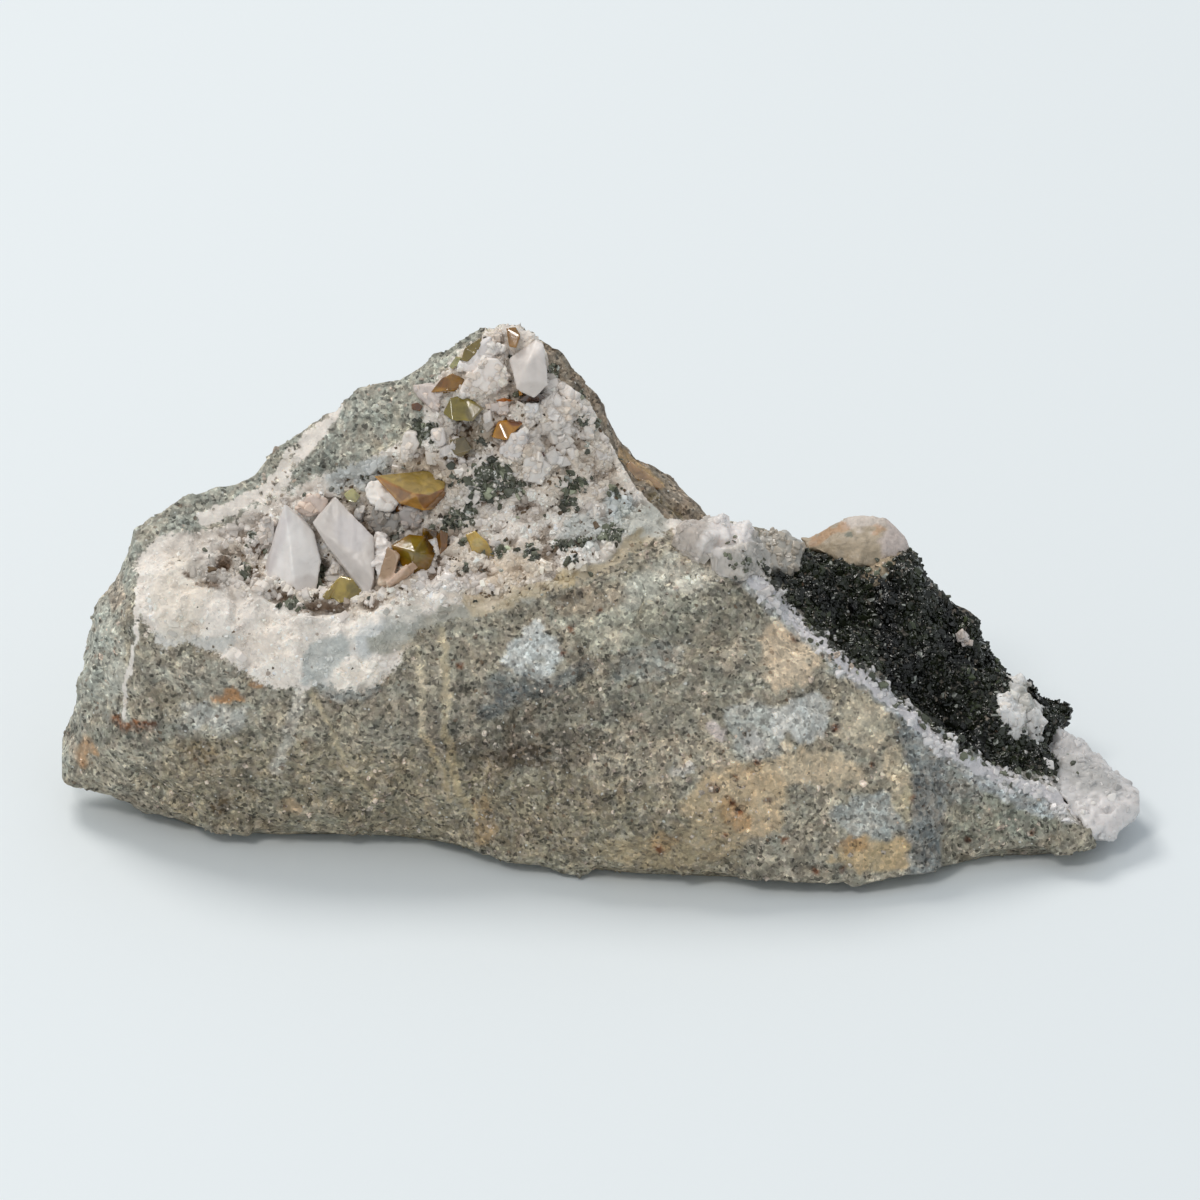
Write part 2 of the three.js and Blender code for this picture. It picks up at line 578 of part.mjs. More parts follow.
// The room a crystal needs: its shape grown on all sides by the gap.
function grown(corners) {
  const sides = [-GAP, GAP];
  return hull(
    corners.flatMap((c) =>
      sides.flatMap((x) => sides.flatMap((y) => sides.map((z) => c.clone().add(new THREE.Vector3(x, y, z))))),
    ),
  );
}

// The corners of a crystal, in the stone's own frame, one list for each of its convex forms.
function crystalForms({ at, forms }) {
  const crust = skinAt(...at) + BED_DEPTH;
  return forms.map((corners) => corners.map(([across, up, lift]) => fromSight(across, up, crust + lift)));
}

// A small block with flat faces, turned freely, half sunk in the crust. One that stands just over the
// skyline takes its footing a little lower.
function block(across, up, size, roll) {
  const edge = () => size * (0.75 + 0.4 * roll());
  const box = new THREE.BoxGeometry(edge(), edge(), edge());
  box.rotateX(3 * roll());
  box.rotateY(3 * roll());
  box.rotateZ(3 * roll());
  const skin = skinAt(across, up) ?? skinAt(across, up - SKYLINE);
  const middle = fromSight(across, up, skin + BED_DEPTH - size * 0.1);
  box.translate(...middle.toArray());
  return hull(cornersOf(box));
}

// Places spread by chance inside an outline, no nearer than `apart` to each other or to `taken`.
function scatter(outline, count, apart, roll, taken = []) {
  const box = new THREE.Box2().setFromPoints(outline.map(([x, y]) => new THREE.Vector2(x, y)));
  const places = [];
  for (let tries = 0; places.length < count && tries < 200 * count; tries++) {
    const p = new THREE.Vector2(
      THREE.MathUtils.lerp(box.min.x, box.max.x, roll()),
      THREE.MathUtils.lerp(box.min.y, box.max.y, roll()),
    );
    const clear = [...taken, ...places].every((q) => q.distanceTo(p) > apart);
    if (clear && insideBy(outline, p.x, p.y) > 1 && skinAt(p.x, p.y) !== undefined) places.push(p);
  }
  return places;
}

const wholeStone = solid(stoneSkin);
const crystals = Object.entries(CRYSTALS).map(([name, crystal]) => ({
  name,
  look: crystal.look,
  forms: crystalForms(crystal),
}));

// How far a crust's surface stands off the rock: under the gap outside its bed, so that it ends there.
function crustHeight(bed, seed) {
  return (p) => {
    const lumps = CRUST_LUMP * noise(p, 4.4, seed) + CRUST_GRAIN * noise(p, 2.3, seed + 9.6);
    return THREE.MathUtils.lerp(-2 * GAP, BED_DEPTH + lumps, bedAt(bed, p));
  };
}
const feldsparHeight = crustHeight(VEIN, 21.7);
const chloriteHeight = crustHeight(CHLORITE, 31.3);
const rockCover = solid(pushedOut(stoneSkin, () => GAP));

function feldsparCrust() {
  let crust = solid(pushedOut(stoneSkin, feldsparHeight));
  const roll = dice(DRUSE_SEED);
  const crystalCorners = Object.values(CRYSTALS).flatMap(({ forms }) => forms.flat());
  const crystalPlaces = crystalCorners.map(([across, up]) => new THREE.Vector2(across, up));
  for (const p of scatter(VEIN_OUTLINE, DRUSE_BLOCKS, DRUSE_APART, roll, crystalPlaces)) {
    crust = crust.add(block(p.x, p.y, DRUSE_SMALLEST + DRUSE_SPREAD * roll() ** 2, roll));
  }
  return crust.subtract(rockCover);
}

function chloriteCrust() {
  let crust = solid(pushedOut(stoneSkin, chloriteHeight));
  const roll = dice(CHLORITE_SEED);
  for (const p of scatter(CHLORITE_OUTLINE, CHLORITE_KNOBS, KNOBS_APART, roll)) {
    const knob = new THREE.OctahedronGeometry(KNOB_RADIUS * (1 + roll()));
    knob.rotateX(3 * roll());
    knob.rotateY(3 * roll());
    knob.translate(...fromSight(p.x, p.y, skinAt(p.x, p.y) + BED_DEPTH).toArray());
    crust = crust.add(hull(cornersOf(knob)));
  }
  return crust.subtract(rockCover);
}

function quartzClump(clump, margin) {
  const roll = dice(CLUMP_SEED);
  const blocks = clump.map(([across, up, size]) => block(across, up, size + 2 * margin, roll));
  return blocks.reduce((a, b) => a.add(b));
}

const group = new THREE.Group();
function addNode(name, shape, { color, roughness }) {
  const material = new THREE.MeshStandardMaterial({ color, roughness, metalness: 0 });
  const mesh = new THREE.Mesh(geometryOf(largest(shape)), material);
  mesh.name = name;
  group.add(mesh);
}

// The rock and what lies in it: each is cut clear of its neighbours.
const clumpRoom = quartzClump(QUARTZ_CLUMP, GAP).add(quartzClump(SADDLE_CLUMP, GAP));
const room = sightPrism(LOBE, GAP).add(sightPrism(TIP, GAP)).add(clumpRoom);
const matrix = wholeStone.subtract(room);
const feldspar = feldsparCrust().subtract(matrix).subtract(room);
const chlorite = chloriteCrust().subtract(matrix).subtract(room);
const lobe = wholeStone.intersect(sightPrism(LOBE, 0)).subtract(clumpRoom);
const tip = wholeStone.intersect(sightPrism(TIP, 0));

addNode("gneiss_matrix", matrix, { color: 0x8a8c80, roughness: 0.85 });
addNode("feldspar_crust", feldspar, { color: 0xd9d0c8, roughness: 0.5 });
addNode("chlorite_crust", chlorite, { color: 0x2f3630, roughness: 0.3 });
addNode("feldspar_lobe", lobe, { color: 0xc9b8a8, roughness: 0.6 });
addNode("quartz_tip", tip, { color: 0xe2dedb, roughness: 0.4 });
addNode("quartz_clump", quartzClump(QUARTZ_CLUMP, 0), { color: 0xe8e4e2, roughness: 0.4 });
addNode("quartz_saddle", quartzClump(SADDLE_CLUMP, 0), { color: 0xcfcac6, roughness: 0.4 });

// Each crystal stands on the crust and keeps clear of the ones before it.
const crustCover = solid(pushedOut(stoneSkin, (p) => Math.max(GAP, feldsparHeight(p) + GAP)));
let taken = crustCover.add(feldspar).add(matrix);
for (const { name, look, forms } of crystals) {
  addNode(name, forms.map(hull).reduce((a, b) => a.add(b)).subtract(taken), look);
  taken = forms.map(grown).reduce((a, b) => a.add(b), taken);
}
group.position.y = -CENTRE_Y;

export default group;
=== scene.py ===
# A titanite specimen from an Alpine cleft: a wedge of grey-green gneiss with a feldspar vein open on its
# upper slope, adularia and titanite crystals in the vein, a crust of dark chlorite on the right and milky
# quartz at the tip. Sizes are in millimetres unless a name says otherwise. +X is right, +Y back, +Z up.
import math
from itertools import product

import bmesh
import bpy
import numpy as np
from mathutils import Matrix, Vector
from mathutils.bvhtree import BVHTree


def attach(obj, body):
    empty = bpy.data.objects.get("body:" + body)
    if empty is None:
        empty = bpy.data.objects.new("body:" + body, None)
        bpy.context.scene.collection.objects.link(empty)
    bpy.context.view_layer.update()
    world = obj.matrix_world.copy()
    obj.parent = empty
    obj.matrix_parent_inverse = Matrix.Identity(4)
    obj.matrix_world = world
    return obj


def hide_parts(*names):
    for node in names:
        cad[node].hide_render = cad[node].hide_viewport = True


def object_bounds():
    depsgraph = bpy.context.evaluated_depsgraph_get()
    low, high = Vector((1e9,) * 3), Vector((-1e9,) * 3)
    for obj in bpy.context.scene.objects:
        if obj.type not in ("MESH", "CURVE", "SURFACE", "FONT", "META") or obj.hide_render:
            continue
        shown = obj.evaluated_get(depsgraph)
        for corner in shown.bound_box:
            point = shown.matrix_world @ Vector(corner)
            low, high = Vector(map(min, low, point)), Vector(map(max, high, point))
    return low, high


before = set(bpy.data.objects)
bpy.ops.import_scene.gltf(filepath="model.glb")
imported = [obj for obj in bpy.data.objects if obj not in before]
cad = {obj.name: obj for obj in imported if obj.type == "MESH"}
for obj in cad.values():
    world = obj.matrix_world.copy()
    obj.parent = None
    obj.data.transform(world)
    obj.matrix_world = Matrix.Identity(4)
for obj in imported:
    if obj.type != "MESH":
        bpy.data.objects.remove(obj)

cad_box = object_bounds()
scene = bpy.context.scene
MM = 0.001

# The stone is described as it is seen: across the picture, up it, and toward the eye.
TILT = math.radians(30)
SIGHT = np.array([[1, 0, 0], [0, math.sin(TILT), math.cos(TILT)], [0, -math.cos(TILT), math.sin(TILT)]])
TOWARDS = SIGHT[2]
STONE_MIDDLE = np.array([0.0, 2.0, 0.0])  # where the sight frame has the middle of the finished stone


def from_seen(seen):
    """Rows of across, up and toward, in millimetres, as points in metres."""
    return (np.array(seen) @ SIGHT - STONE_MIDDLE) * MM


def as_seen(points):
    """Points in metres as rows of across, up and toward, in millimetres."""
    return (points / MM + STONE_MIDDLE) @ SIGHT.T


def linear(hex_colour):
    """An sRGB hex value as linear red, green, blue and alpha."""
    channels = [int(hex_colour[i : i + 2], 16) / 255 for i in (1, 3, 5)]
    return [c / 12.92 if c <= 0.04045 else ((c + 0.055) / 1.055) ** 2.4 for c in channels] + [1.0]


def rgb(hex_colour):
    return np.array(linear(hex_colour)[:3])


def new_object(name, data):
    made = bpy.data.objects.new(name, data)
    scene.collection.objects.link(made)
    return made


# Camera and light.
PICTURE_WIDTH = 133.33
PICTURE_MIDDLE = (0, 22.22)
STONE_NEARNESS = 20  # how far toward the eye the seen faces stand
CAMERA_DISTANCE = 3000
SENSOR_WIDTH = 36
SIGHT_END = 20  # metres

camera = new_object("camera", bpy.data.cameras.new("camera"))
scene.camera = camera
camera.data.sensor_width = SENSOR_WIDTH
camera.data.lens = SENSOR_WIDTH * CAMERA_DISTANCE / PICTURE_WIDTH
camera.data.clip_end = SIGHT_END
stand = Vector(from_seen([*PICTURE_MIDDLE, STONE_NEARNESS + CAMERA_DISTANCE]))
camera.matrix_world = Matrix.Translation(stand) @ Matrix(SIGHT.T.tolist()).to_4x4()
scene.view_settings.view_transform = "Standard"

LIGHT_DISTANCE = 1.2  # this and the softboxes' diameters are in metres
for name, direction, diameter, watts in [
    ("softbox above", (-0.34, 0.42, 0.84), 0.5, 5.5),
    ("softbox in front", (-0.3, -0.55, 0.78), 0.3, 3.2),
]:
    softbox = bpy.data.lights.new(name, "AREA")
    softbox.shape = "DISK"
    softbox.size = diameter
    softbox.energy = watts
    softbox.color = linear("#fffaf4")[:3]
    light = new_object(name, softbox)
    toward_light = Vector(direction).normalized()
    light.location = toward_light * LIGHT_DISTANCE
    light.rotation_euler = toward_light.to_track_quat("Z", "Y").to_euler()
scene.world = bpy.data.worlds.new("white room")
scene.world.use_nodes = True
sky = scene.world.node_tree.nodes["Background"].inputs
sky["Color"].default_value = linear("#f0f6fb")
sky["Strength"].default_value = 0.555


def fill(material, node, inputs):
    """Gives each input of a node a value, or links it where it is another node's output."""
    for key, value in inputs.items():
        if isinstance(value, bpy.types.NodeSocket):
            material.node_tree.links.new(value, node.inputs[key])
        else:
            node.inputs[key].default_value = value


def add(material, kind, inputs, output=0, stops=(), **settings):
    """Adds a node with its settings and links, and gives one of its outputs. A colour ramp's stops are
    positions with a grey or a linear colour."""
    node = material.node_tree.nodes.new("ShaderNode" + kind)
    for key, value in settings.items():
        setattr(node, key, value)
    elements = node.color_ramp.elements if stops else []
    while len(elements) < len(stops):
        elements.new(0.5)
    for element, (position, colour) in zip(elements, stops):
        element.position, element.color = position, [*(np.ones(3) * colour), 1]
    fill(material, node, inputs)
    return node.outputs[output]


def new_material(name):
    material = bpy.data.materials.new(name)
    material.use_nodes = True
    return material


def surfaced(material, **inputs):
    """Sets and links the surface shader's inputs, named with underscores for spaces."""
    shader = material.node_tree.nodes["Principled BSDF"]
    fill(material, shader, {key.replace("_", " "): value for key, value in inputs.items()})
    return material


# The floor is a sheet of pale matt card.
FLOOR_SIZE = 4  # metres
card = surfaced(
    new_material("pale matt card"), Base_Color=linear("#e9eff2"), Roughness=0.95, Specular_IOR_Level=0.1
)
bpy.ops.mesh.primitive_plane_add(size=FLOOR_SIZE)
floor = bpy.context.object
floor.name = "floor"
floor.data.materials.append(card)


# Repeatable chance, noise and cells, for arrays of points in millimetres.
def chance(cell, seed):
    """A number from 0 to 1 for each row of whole numbers."""
    mixed = (cell @ np.array([374761393, 668265263, 962287543]) + seed * 1274126177) & 0xFFFFFFFF
    mixed = ((mixed ^ (mixed >> 13)) * 1274126177) & 0xFFFFFFFF
    return ((mixed ^ (mixed >> 16)) & 0xFFFFFF) / 0xFFFFFF


def ripple(points, size, seed):
    """Smooth noise from -1 to 1 with bumps about `size` wide."""
    scaled = points / size
    cell = np.floor(scaled).astype(np.int64)
    part = scaled - cell
    part = part * part * (3 - 2 * part)
    total = np.zeros(len(points))
    for corner in product((0, 1), repeat=3):
        share = np.prod(np.where(corner, part, 1 - part), axis=1)
        total += share * chance(cell + np.array(corner), seed)
    return 2 * total - 1


def drift(points, size, seed):
    """Smooth noise across and up."""
    return np.stack([ripple(points, size, seed), ripple(points, size, seed + 1)], axis=1)


def chips(points, size, slope, seed):
    """The relief of a surface broken in flat facets about `size` wide: how high each point stands."""
    scaled = points / size
    home = np.floor(scaled).astype(np.int64)
    nearest = np.full(len(points), np.inf)
    height = np.zeros(len(points))
    for step in product((-1, 0, 1), repeat=3):
        cell = home + np.array(step)
        dice = [chance(cell, seed + i) for i in range(7)]
        offset = scaled - (cell + np.stack(dice[:3], axis=1))
        distance = np.linalg.norm(offset, axis=1)
        tilt = np.stack(dice[3:6], axis=1) - 0.5
        closer = distance < nearest
        nearest = np.where(closer, distance, nearest)
        level = size * slope * (2 * np.sum(offset * tilt, axis=1) + 0.5 * (dice[6] - 0.5))
        height = np.where(closer, level, height)
    return height


def smoothstep(value, low, high):
    t = np.clip((value - low) / (high - low), 0, 1)
    return t * t * (3 - 2 * t)


# Meshes as arrays.
def read(items, key, width, kind=np.float32):
    flat = np.empty(len(items) * width, kind)
    items.foreach_get(key, flat)
    return flat.reshape(-1, width)


def points_of(mesh):
    return read(mesh.vertices, "co", 3).astype(float)


def facing(mesh, low, high):
    """1 where a mesh faces the eye and 0 where it faces away, between two cosines."""
    return smoothstep(normals_of(mesh) @ TOWARDS, low, high)


def normals_of(mesh):
    return read(mesh.vertex_normals, "vector", 3).astype(float)


def tints_of(mesh, name="tint"):
    return read(mesh.attributes[name].data, "color", 4)[:, :3].astype(float)


def survey(mesh):
    """A mesh's points in millimetres, as they lie and as they are seen."""
    points = points_of(mesh)
    return points / MM, as_seen(points)


def shifted(seen, by):
    """Seen points moved across and up."""
    return seen + np.pad(by, ((0, 0), (0, 1)))


def move_points(mesh, points):
    """Moves the mesh's points, and keeps them inside the CAD's box."""
    low, high = [np.array(corner) for corner in cad_box]
    mesh.vertices.foreach_set("co", np.clip(points, low, high).astype(np.float32).ravel())
    mesh.update()


def neighbour_mean(mesh, values, turns):
    """Rows of values, one for each point, evened out over neighbours a number of times."""
    a, b = read(mesh.edges, "vertices", 2, np.int32).T
    count = len(mesh.vertices)
    degree = np.maximum(np.bincount(a, minlength=count) + np.bincount(b, minlength=count), 1)
    for _ in range(turns):
        sums = [np.bincount(a, column[b], count) + np.bincount(b, column[a], count) for column in values.T]
        values = np.stack(sums, axis=1) / degree[:, None]
    return values


def paint(mesh, name, values):
    """Stores a number or a colour for each point, for the material to read."""
    kind, key = ("FLOAT", "value") if values.ndim == 1 else ("FLOAT_COLOR", "color")
    if values.ndim == 2:
        values = np.column_stack([values, np.ones(len(values))])
    mesh.attributes.new(name, kind, "POINT").data.foreach_set(key, values.astype(np.float32).ravel())


def only_select(piece):
    bpy.ops.object.select_all(action="DESELECT")
    piece.select_set(True)
    bpy.context.view_layer.objects.active = piece


def apply_modifier(piece, kind, **settings):
    modifier = piece.modifiers.new(kind, kind)
    for key, value in settings.items():
        setattr(modifier, key, value)
    only_select(piece)
    bpy.ops.object.modifier_apply(modifier=modifier.name)


def even_faces(piece, size):
    apply_modifier(piece, "REMESH", mode="VOXEL", voxel_size=size * MM)


def copy_of(name, *node_names, grow=0.0):
    """One object with copies of CAD nodes, their points merged, each moved out by `grow`."""
    together = bmesh.new()
    for node_name in node_names:
        one = bmesh.new()
        one.from_mesh(cad[node_name].data)
        bmesh.ops.remove_doubles(one, verts=one.verts, dist=1e-6)
        one.normal_update()
        for vert in one.verts:
            vert.co += vert.normal * grow * MM
        part = bpy.data.meshes.new("part")
        one.to_mesh(part)
        one.free()
        together.from_mesh(part)
        bpy.data.meshes.remove(part)
    mesh = bpy.data.meshes.new(name)
    together.to_mesh(mesh)
    together.free()
    return new_object(name, mesh)


def largest_shell(piece):
    """Keeps the outer skin and leaves out the closed voids inside."""
    name = piece.name
    only_select(piece)
    bpy.ops.mesh.separate(type="LOOSE")
    *voids, shell = sorted(bpy.context.selected_objects, key=lambda o: len(o.data.vertices))
    for void in voids:
        bpy.data.objects.remove(void)
    shell.name = name
    return shell


def tree_of(piece):
    return BVHTree.FromObject(piece, bpy.context.evaluated_depsgraph_get())


# Where the minerals lie, as outlines of (across, up).
VEIN = [
    (-51.6, 27), (-51.6, 21.9), (-50.3, 19), (-48.7, 17), (-45.6, 17.2), (-41.9, 16.1), (-40.8, 14.7),
    (-38.3, 13.2), (-35.9, 12.4), (-33.4, 12.4), (-29.9, 12.9), (-28.7, 12.2), (-26.8, 11.8), (-25, 12.7),
    (-22.2, 15.1), (-21.1, 18.3), (-18.9, 19.6), (-11.1, 20.8), (-6.7, 22.4), (-1, 24.6), (3, 27),
    (7, 29.6), (10.2, 31), (6.4, 34.6), (3.4, 39.6), (0.2, 44.6), (-2.6, 48.4), (-5.6, 52), (-11, 54),
    (-14.6, 50.6), (-17.4, 48), (-19, 45), (-20, 42), (-22.2, 39.6), (-26.1, 38), (-30, 36.6),
    (-34.4, 34.4), (-38, 33), (-41, 30.6), (-45.4, 30), (-49.4, 29.4),
]
CHLORITE = [
    (18.6, 26.4), (19.4, 24.4), (22.6, 20.6), (26.4, 17), (33.3, 11.7), (37.6, 8.2), (41, 5.4), (45.6, 3.4),
    (49.4, 3), (51.6, 4.4), (54.4, 8), (51.4, 12.8), (46, 17), (42, 20), (38.1, 22), (36.7, 24.3),
    (34.6, 27.4), (33, 27.8), (32.7, 25.8), (32, 24.5), (29.9, 24.6), (29, 26), (27.6, 27.1), (23.8, 27.3),
    (21.6, 28.4),
]
# The open part of the vein, floored with small crystals.
CLEFT = [
    (-45.6, 25.3), (-43.3, 28), (-38.9, 32), (-33.3, 34.2), (-28.3, 36.7), (-23.9, 39.1), (-20.2, 40.2),
    (-18.2, 42.4), (-19.1, 44.9), (-17.1, 48.9), (-13.3, 51.3), (-7.8, 50.7), (-3.8, 47.6), (-0.9, 44),
    (1.3, 40), (4.4, 35.8), (5.6, 32.8), (1.1, 27.1), (-4.4, 23.1), (-11.1, 21.6), (-17.8, 22.2),
    (-22.2, 21.8), (-28.3, 20.7), (-33.3, 21.6), (-40, 23.1),
]
# The smooth weathered side of the peak, on the right of the cleft.
SIDE_FACE = [
    (-8, 54), (-6.2, 50.6), (-5.6, 48.2), (-3.6, 46), (-1.2, 44.2), (0.6, 41), (2.2, 38.2), (4.2, 34.6),
    (7.4, 31.6), (11.4, 30.8), (11, 36), (4, 44), (-1, 52),
]


def distance_to(corners, seen):
    """How far each seen point is from a line through corners."""
    x, y = seen[:, 0], seen[:, 1]
    nearest = np.full(len(seen), np.inf)
    for (ax, ay), (bx, by) in zip(corners, corners[1:]):
        dx, dy = bx - ax, by - ay
        t = np.clip(((x - ax) * dx + (y - ay) * dy) / (dx * dx + dy * dy), 0, 1)
        nearest = np.minimum(nearest, np.hypot(x - ax - t * dx, y - ay - t * dy))
    return nearest


def inside_by(outline, seen):
    """How far inside an outline each seen point is. Outside, it is negative."""
    x, y = seen[:, 0], seen[:, 1]
    odd = np.zeros(len(seen), bool)
    for (ax, ay), (bx, by) in zip(outline, outline[1:] + outline[:1]):
        if by != ay:
            odd ^= ((ay > y) != (by > y)) & (x < (bx - ax) * (y - ay) / (by - ay) + ax)
    nearest = distance_to(outline + outline[:1], seen)
    return np.where(odd, nearest, -nearest)


def oval(seen, across, up, wide, high, lean=0, edge=0.4):
    """1 in the middle of an oval and 0 outside it. `edge` is the share of its radius that fades."""
    turn = math.radians(lean)
    x, y = seen[:, 0] - across, seen[:, 1] - up
    along = (x * math.cos(turn) + y * math.sin(turn)) / wide
    beside = (y * math.cos(turn) - x * math.sin(turn)) / high
    return 1 - smoothstep(np.hypot(along, beside), 1 - edge, 1 + edge)


def streak(seen, width, *corners):
    """1 along a line through the corners, fading to 0 beside it."""
    return 1 - smoothstep(distance_to(corners, seen), 0.2 * width, 0.7 * width)


# The stone: rock and crusts as one broken skin.
SKIN_VOXEL = 0.38
GAP_FILL = 0.2  # each solid grows by this much, so that the gaps between them close
THINNED = 0.62  # the share of all faces that stays when the back is thinned out
BACKWARD = -0.05  # a point faces away from the eye below this cosine
WEAR_TURNS = 14  # of evening out, for the steps between the solids

# Broken feldspar lumps that stand out of the vein: across, up, half width, half height, lean, rise.
LUMPS = [
    (-18, 39.2, 0.6, 1.1, 0, 0.6), (-8.8, 38.6, 2, 1.4, 35, 0.9), (-7.1, 37.3, 1.2, 0.8, 10, 0.5),
    (-15.4, 35.3, 2.1, 1.5, 20, 0.6), (-6.1, 34.1, 2, 1.4, 30, 0.7), (-11, 30.1, 3.3, 1.4, 8, 0.7),
    (-15.2, 27, 2, 1.4, -20, 0.7), (-11.2, 24.3, 1.7, 0.9, 15, 0.5), (-0.8, 27.3, 0.9, 0.9, 0, 0.5),
    (-3.3, 24.9, 1.1, 0.8, 0, 0.4), (-21.9, 38.8, 1.5, 1.2, 20, 0.5), (-12.1, 47.2, 2.9, 1.7, 30, 0.7),
    (-2.8, 45.8, 1.8, 1.3, -35, 0.5), (-1.9, 43.1, 0.9, 1.4, 0, 0.4), (-6.1, 42.5, 1.8, 1.2, 10, 0.5),
    (-32.1, 32.6, 1.8, 1.1, 30, 0.8), (-37.2, 29.8, 0.9, 1.5, -15, 0.6), (-24, 31.3, 2, 1.4, 0, 0.5),
    (-35.7, 17.3, 2.8, 2, -20, 0.6), (-26.8, 13.9, 3, 2, 10, 0.9), (-46.7, 22.5, 3.3, 4.2, 0, 0.5),
    (-41.2, 20, 3, 1.8, 10, 0.6), (-31.4, 19, 3.2, 1.5, -10, 0.6), (-22.2, 20.3, 2.6, 2.1, 20, 0.5),
    (-43.6, 27.4, 2.6, 1.6, 15, 0.5), (-17, 21.9, 2.2, 1.2, 10, 0.5), (-6.6, 25.8, 2, 1.1, 15, 0.4),
    (40.4, 17.8, 2, 1.2, -40, 1.1), (42.2, 16.4, 1.2, 1, 0, 0.9), (51, 9.4, 1.6, 1.5, 0, 0.9),
    (36.8, 21.6, 1.4, 1.2, 0, 0.9),
]
# Gaps and pits between them: across, up, half width, half height, lean, depth.
CREVICES = [
    (-41.9, 26.3, 0.8, 0.9, 30, 0.8), (-43.1, 23.9, 1, 0.45, -20, 0.9), (-45.9, 25, 0.7, 0.3, -20, 0.5),
    (-37.9, 28, 0.9, 1, 0, 0.9), (-38.4, 24.6, 0.6, 1.1, 0, 1), (-35.5, 22.6, 1.6, 0.6, -15, 1.2),
    (-31.2, 24.9, 0.5, 1.1, 0, 1), (-30.6, 21.6, 3, 0.7, 4, 1.5), (-15.1, 41, 1.4, 1.5, 0, 1.3),
    (-15.2, 38.1, 1.4, 0.8, 10, 0.9), (-7.1, 44.7, 1.7, 0.5, 30, 0.9), (-21.4, 32.6, 1.6, 0.7, -10, 1),
    (-18.2, 25.4, 0.8, 1.9, -30, 1.1), (-9.6, 40.4, 1, 0.8, 30, 0.8), (-26.2, 30.4, 0.5, 2.2, 35, 0.8),
    (-13.2, 33.2, 1.8, 0.5, 25, 0.7), (-4.4, 28, 3, 0.4, 16, 0.6), (-4.9, 38.8, 0.9, 0.5, -30, 0.7),
    (-25.4, 21.8, 1.4, 0.5, 15, 0.8), (-12.9, 25.6, 0.9, 0.5, 0, 0.6), (-8.4, 32.4, 1.2, 0.4, 20, 0.5),
]

stone = copy_of("gneiss_stone", "gneiss_matrix", "feldspar_crust", "chlorite_crust", grow=GAP_FILL)
even_faces(stone, SKIN_VOXEL)
stone = largest_shell(stone)

# The back is seen from further off than the broken front, and is thinned out.
back = stone.vertex_groups.new(name="back")
back.add(np.flatnonzero(normals_of(stone.data) @ TOWARDS < BACKWARD).tolist(), 1.0, "REPLACE")
apply_modifier(stone, "DECIMATE", ratio=THINNED, vertex_group="back", vertex_group_factor=10)
stone.vertex_groups.clear()
skin = stone.data

# The steps that the solids leave at the crusts' edges are worn down, and so are their plain blocks.
points = points_of(skin)
seen = as_seen(points)
crusts = np.maximum(inside_by(VEIN, seen), inside_by(CHLORITE, seen))
worn = facing(skin, -0.15, 0.15) * smoothstep(crusts, -4, -1)
points += (neighbour_mean(skin, points, WEAR_TURNS) - points) * worn[:, None]
move_points(skin, points)

# Relief, in millimetres out of the surface.
mm, seen = survey(skin)
front = facing(skin, -0.15, 0.15)
ragged = shifted(seen, 0.5 * drift(mm, 2.4, 90) + 0.35 * drift(mm, 0.9, 92))
ragged = shifted(ragged, np.stack([chips(mm, 1.5, 0.5, 101), chips(mm, 1.5, 0.5, 102)], axis=1))
side_here = smoothstep(inside_by(SIDE_FACE, seen), -0.5, 0.3)
feldspar_here = front * smoothstep(inside_by(VEIN, ragged), -0.3, 0.3) * (1 - side_here)
cleft_here = front * smoothstep(inside_by(CLEFT, ragged), -0.8, 1) * (1 - side_here)
chlorite_here = front * smoothstep(inside_by(CHLORITE, ragged), -0.4, 0.4)

rock_relief = (
    chips(mm, 6.5, 0.13, 1) + chips(mm, 2.6, 0.1, 2) + chips(mm, 1.2, 0.12, 5) + 0.3 * ripple(mm, 3.6, 3)
    + 0.1 * ripple(mm, 1.2, 4)
)
feldspar_relief = chips(mm, 3, 0.26, 11) + chips(mm, 1.4, 0.36, 12) + 0.25 * ripple(mm, 3.6, 13)
cleft_relief = (
    chips(mm, 2.1, 0.3, 21) + chips(mm, 1.1, 0.35, 24) + 0.3 * ripple(mm, 2.2, 22)
    + 0.12 * ripple(mm, 0.9, 23)
)
chlorite_relief = 1.5 * ripple(mm, 4, 31) + 1.1 * ripple(mm, 1.9, 32) + chips(mm, 1.9, 0.4, 33)
relief = rock_relief * (1 - feldspar_here) + feldspar_relief * feldspar_here
relief += (cleft_relief - relief) * cleft_here
relief += (chlorite_relief - relief) * chlorite_here
raised, sunk = np.zeros(len(mm)), np.zeros(len(mm))
for *where, rise in LUMPS:
    raised = np.maximum(raised, rise * oval(ragged, *where, edge=0.16))
for *where, depth in CREVICES:
    sunk = np.maximum(sunk, depth * oval(ragged, *where, edge=0.3))
relief = neighbour_mean(skin, (relief + front * (raised - sunk))[:, None], 1)[:, 0]
relief *= smoothstep(mm[:, 2], 0.1, 1.5)  # the underside that it stands on stays flat
move_points(skin, points_of(skin) + normals_of(skin) * (relief * MM)[:, None])

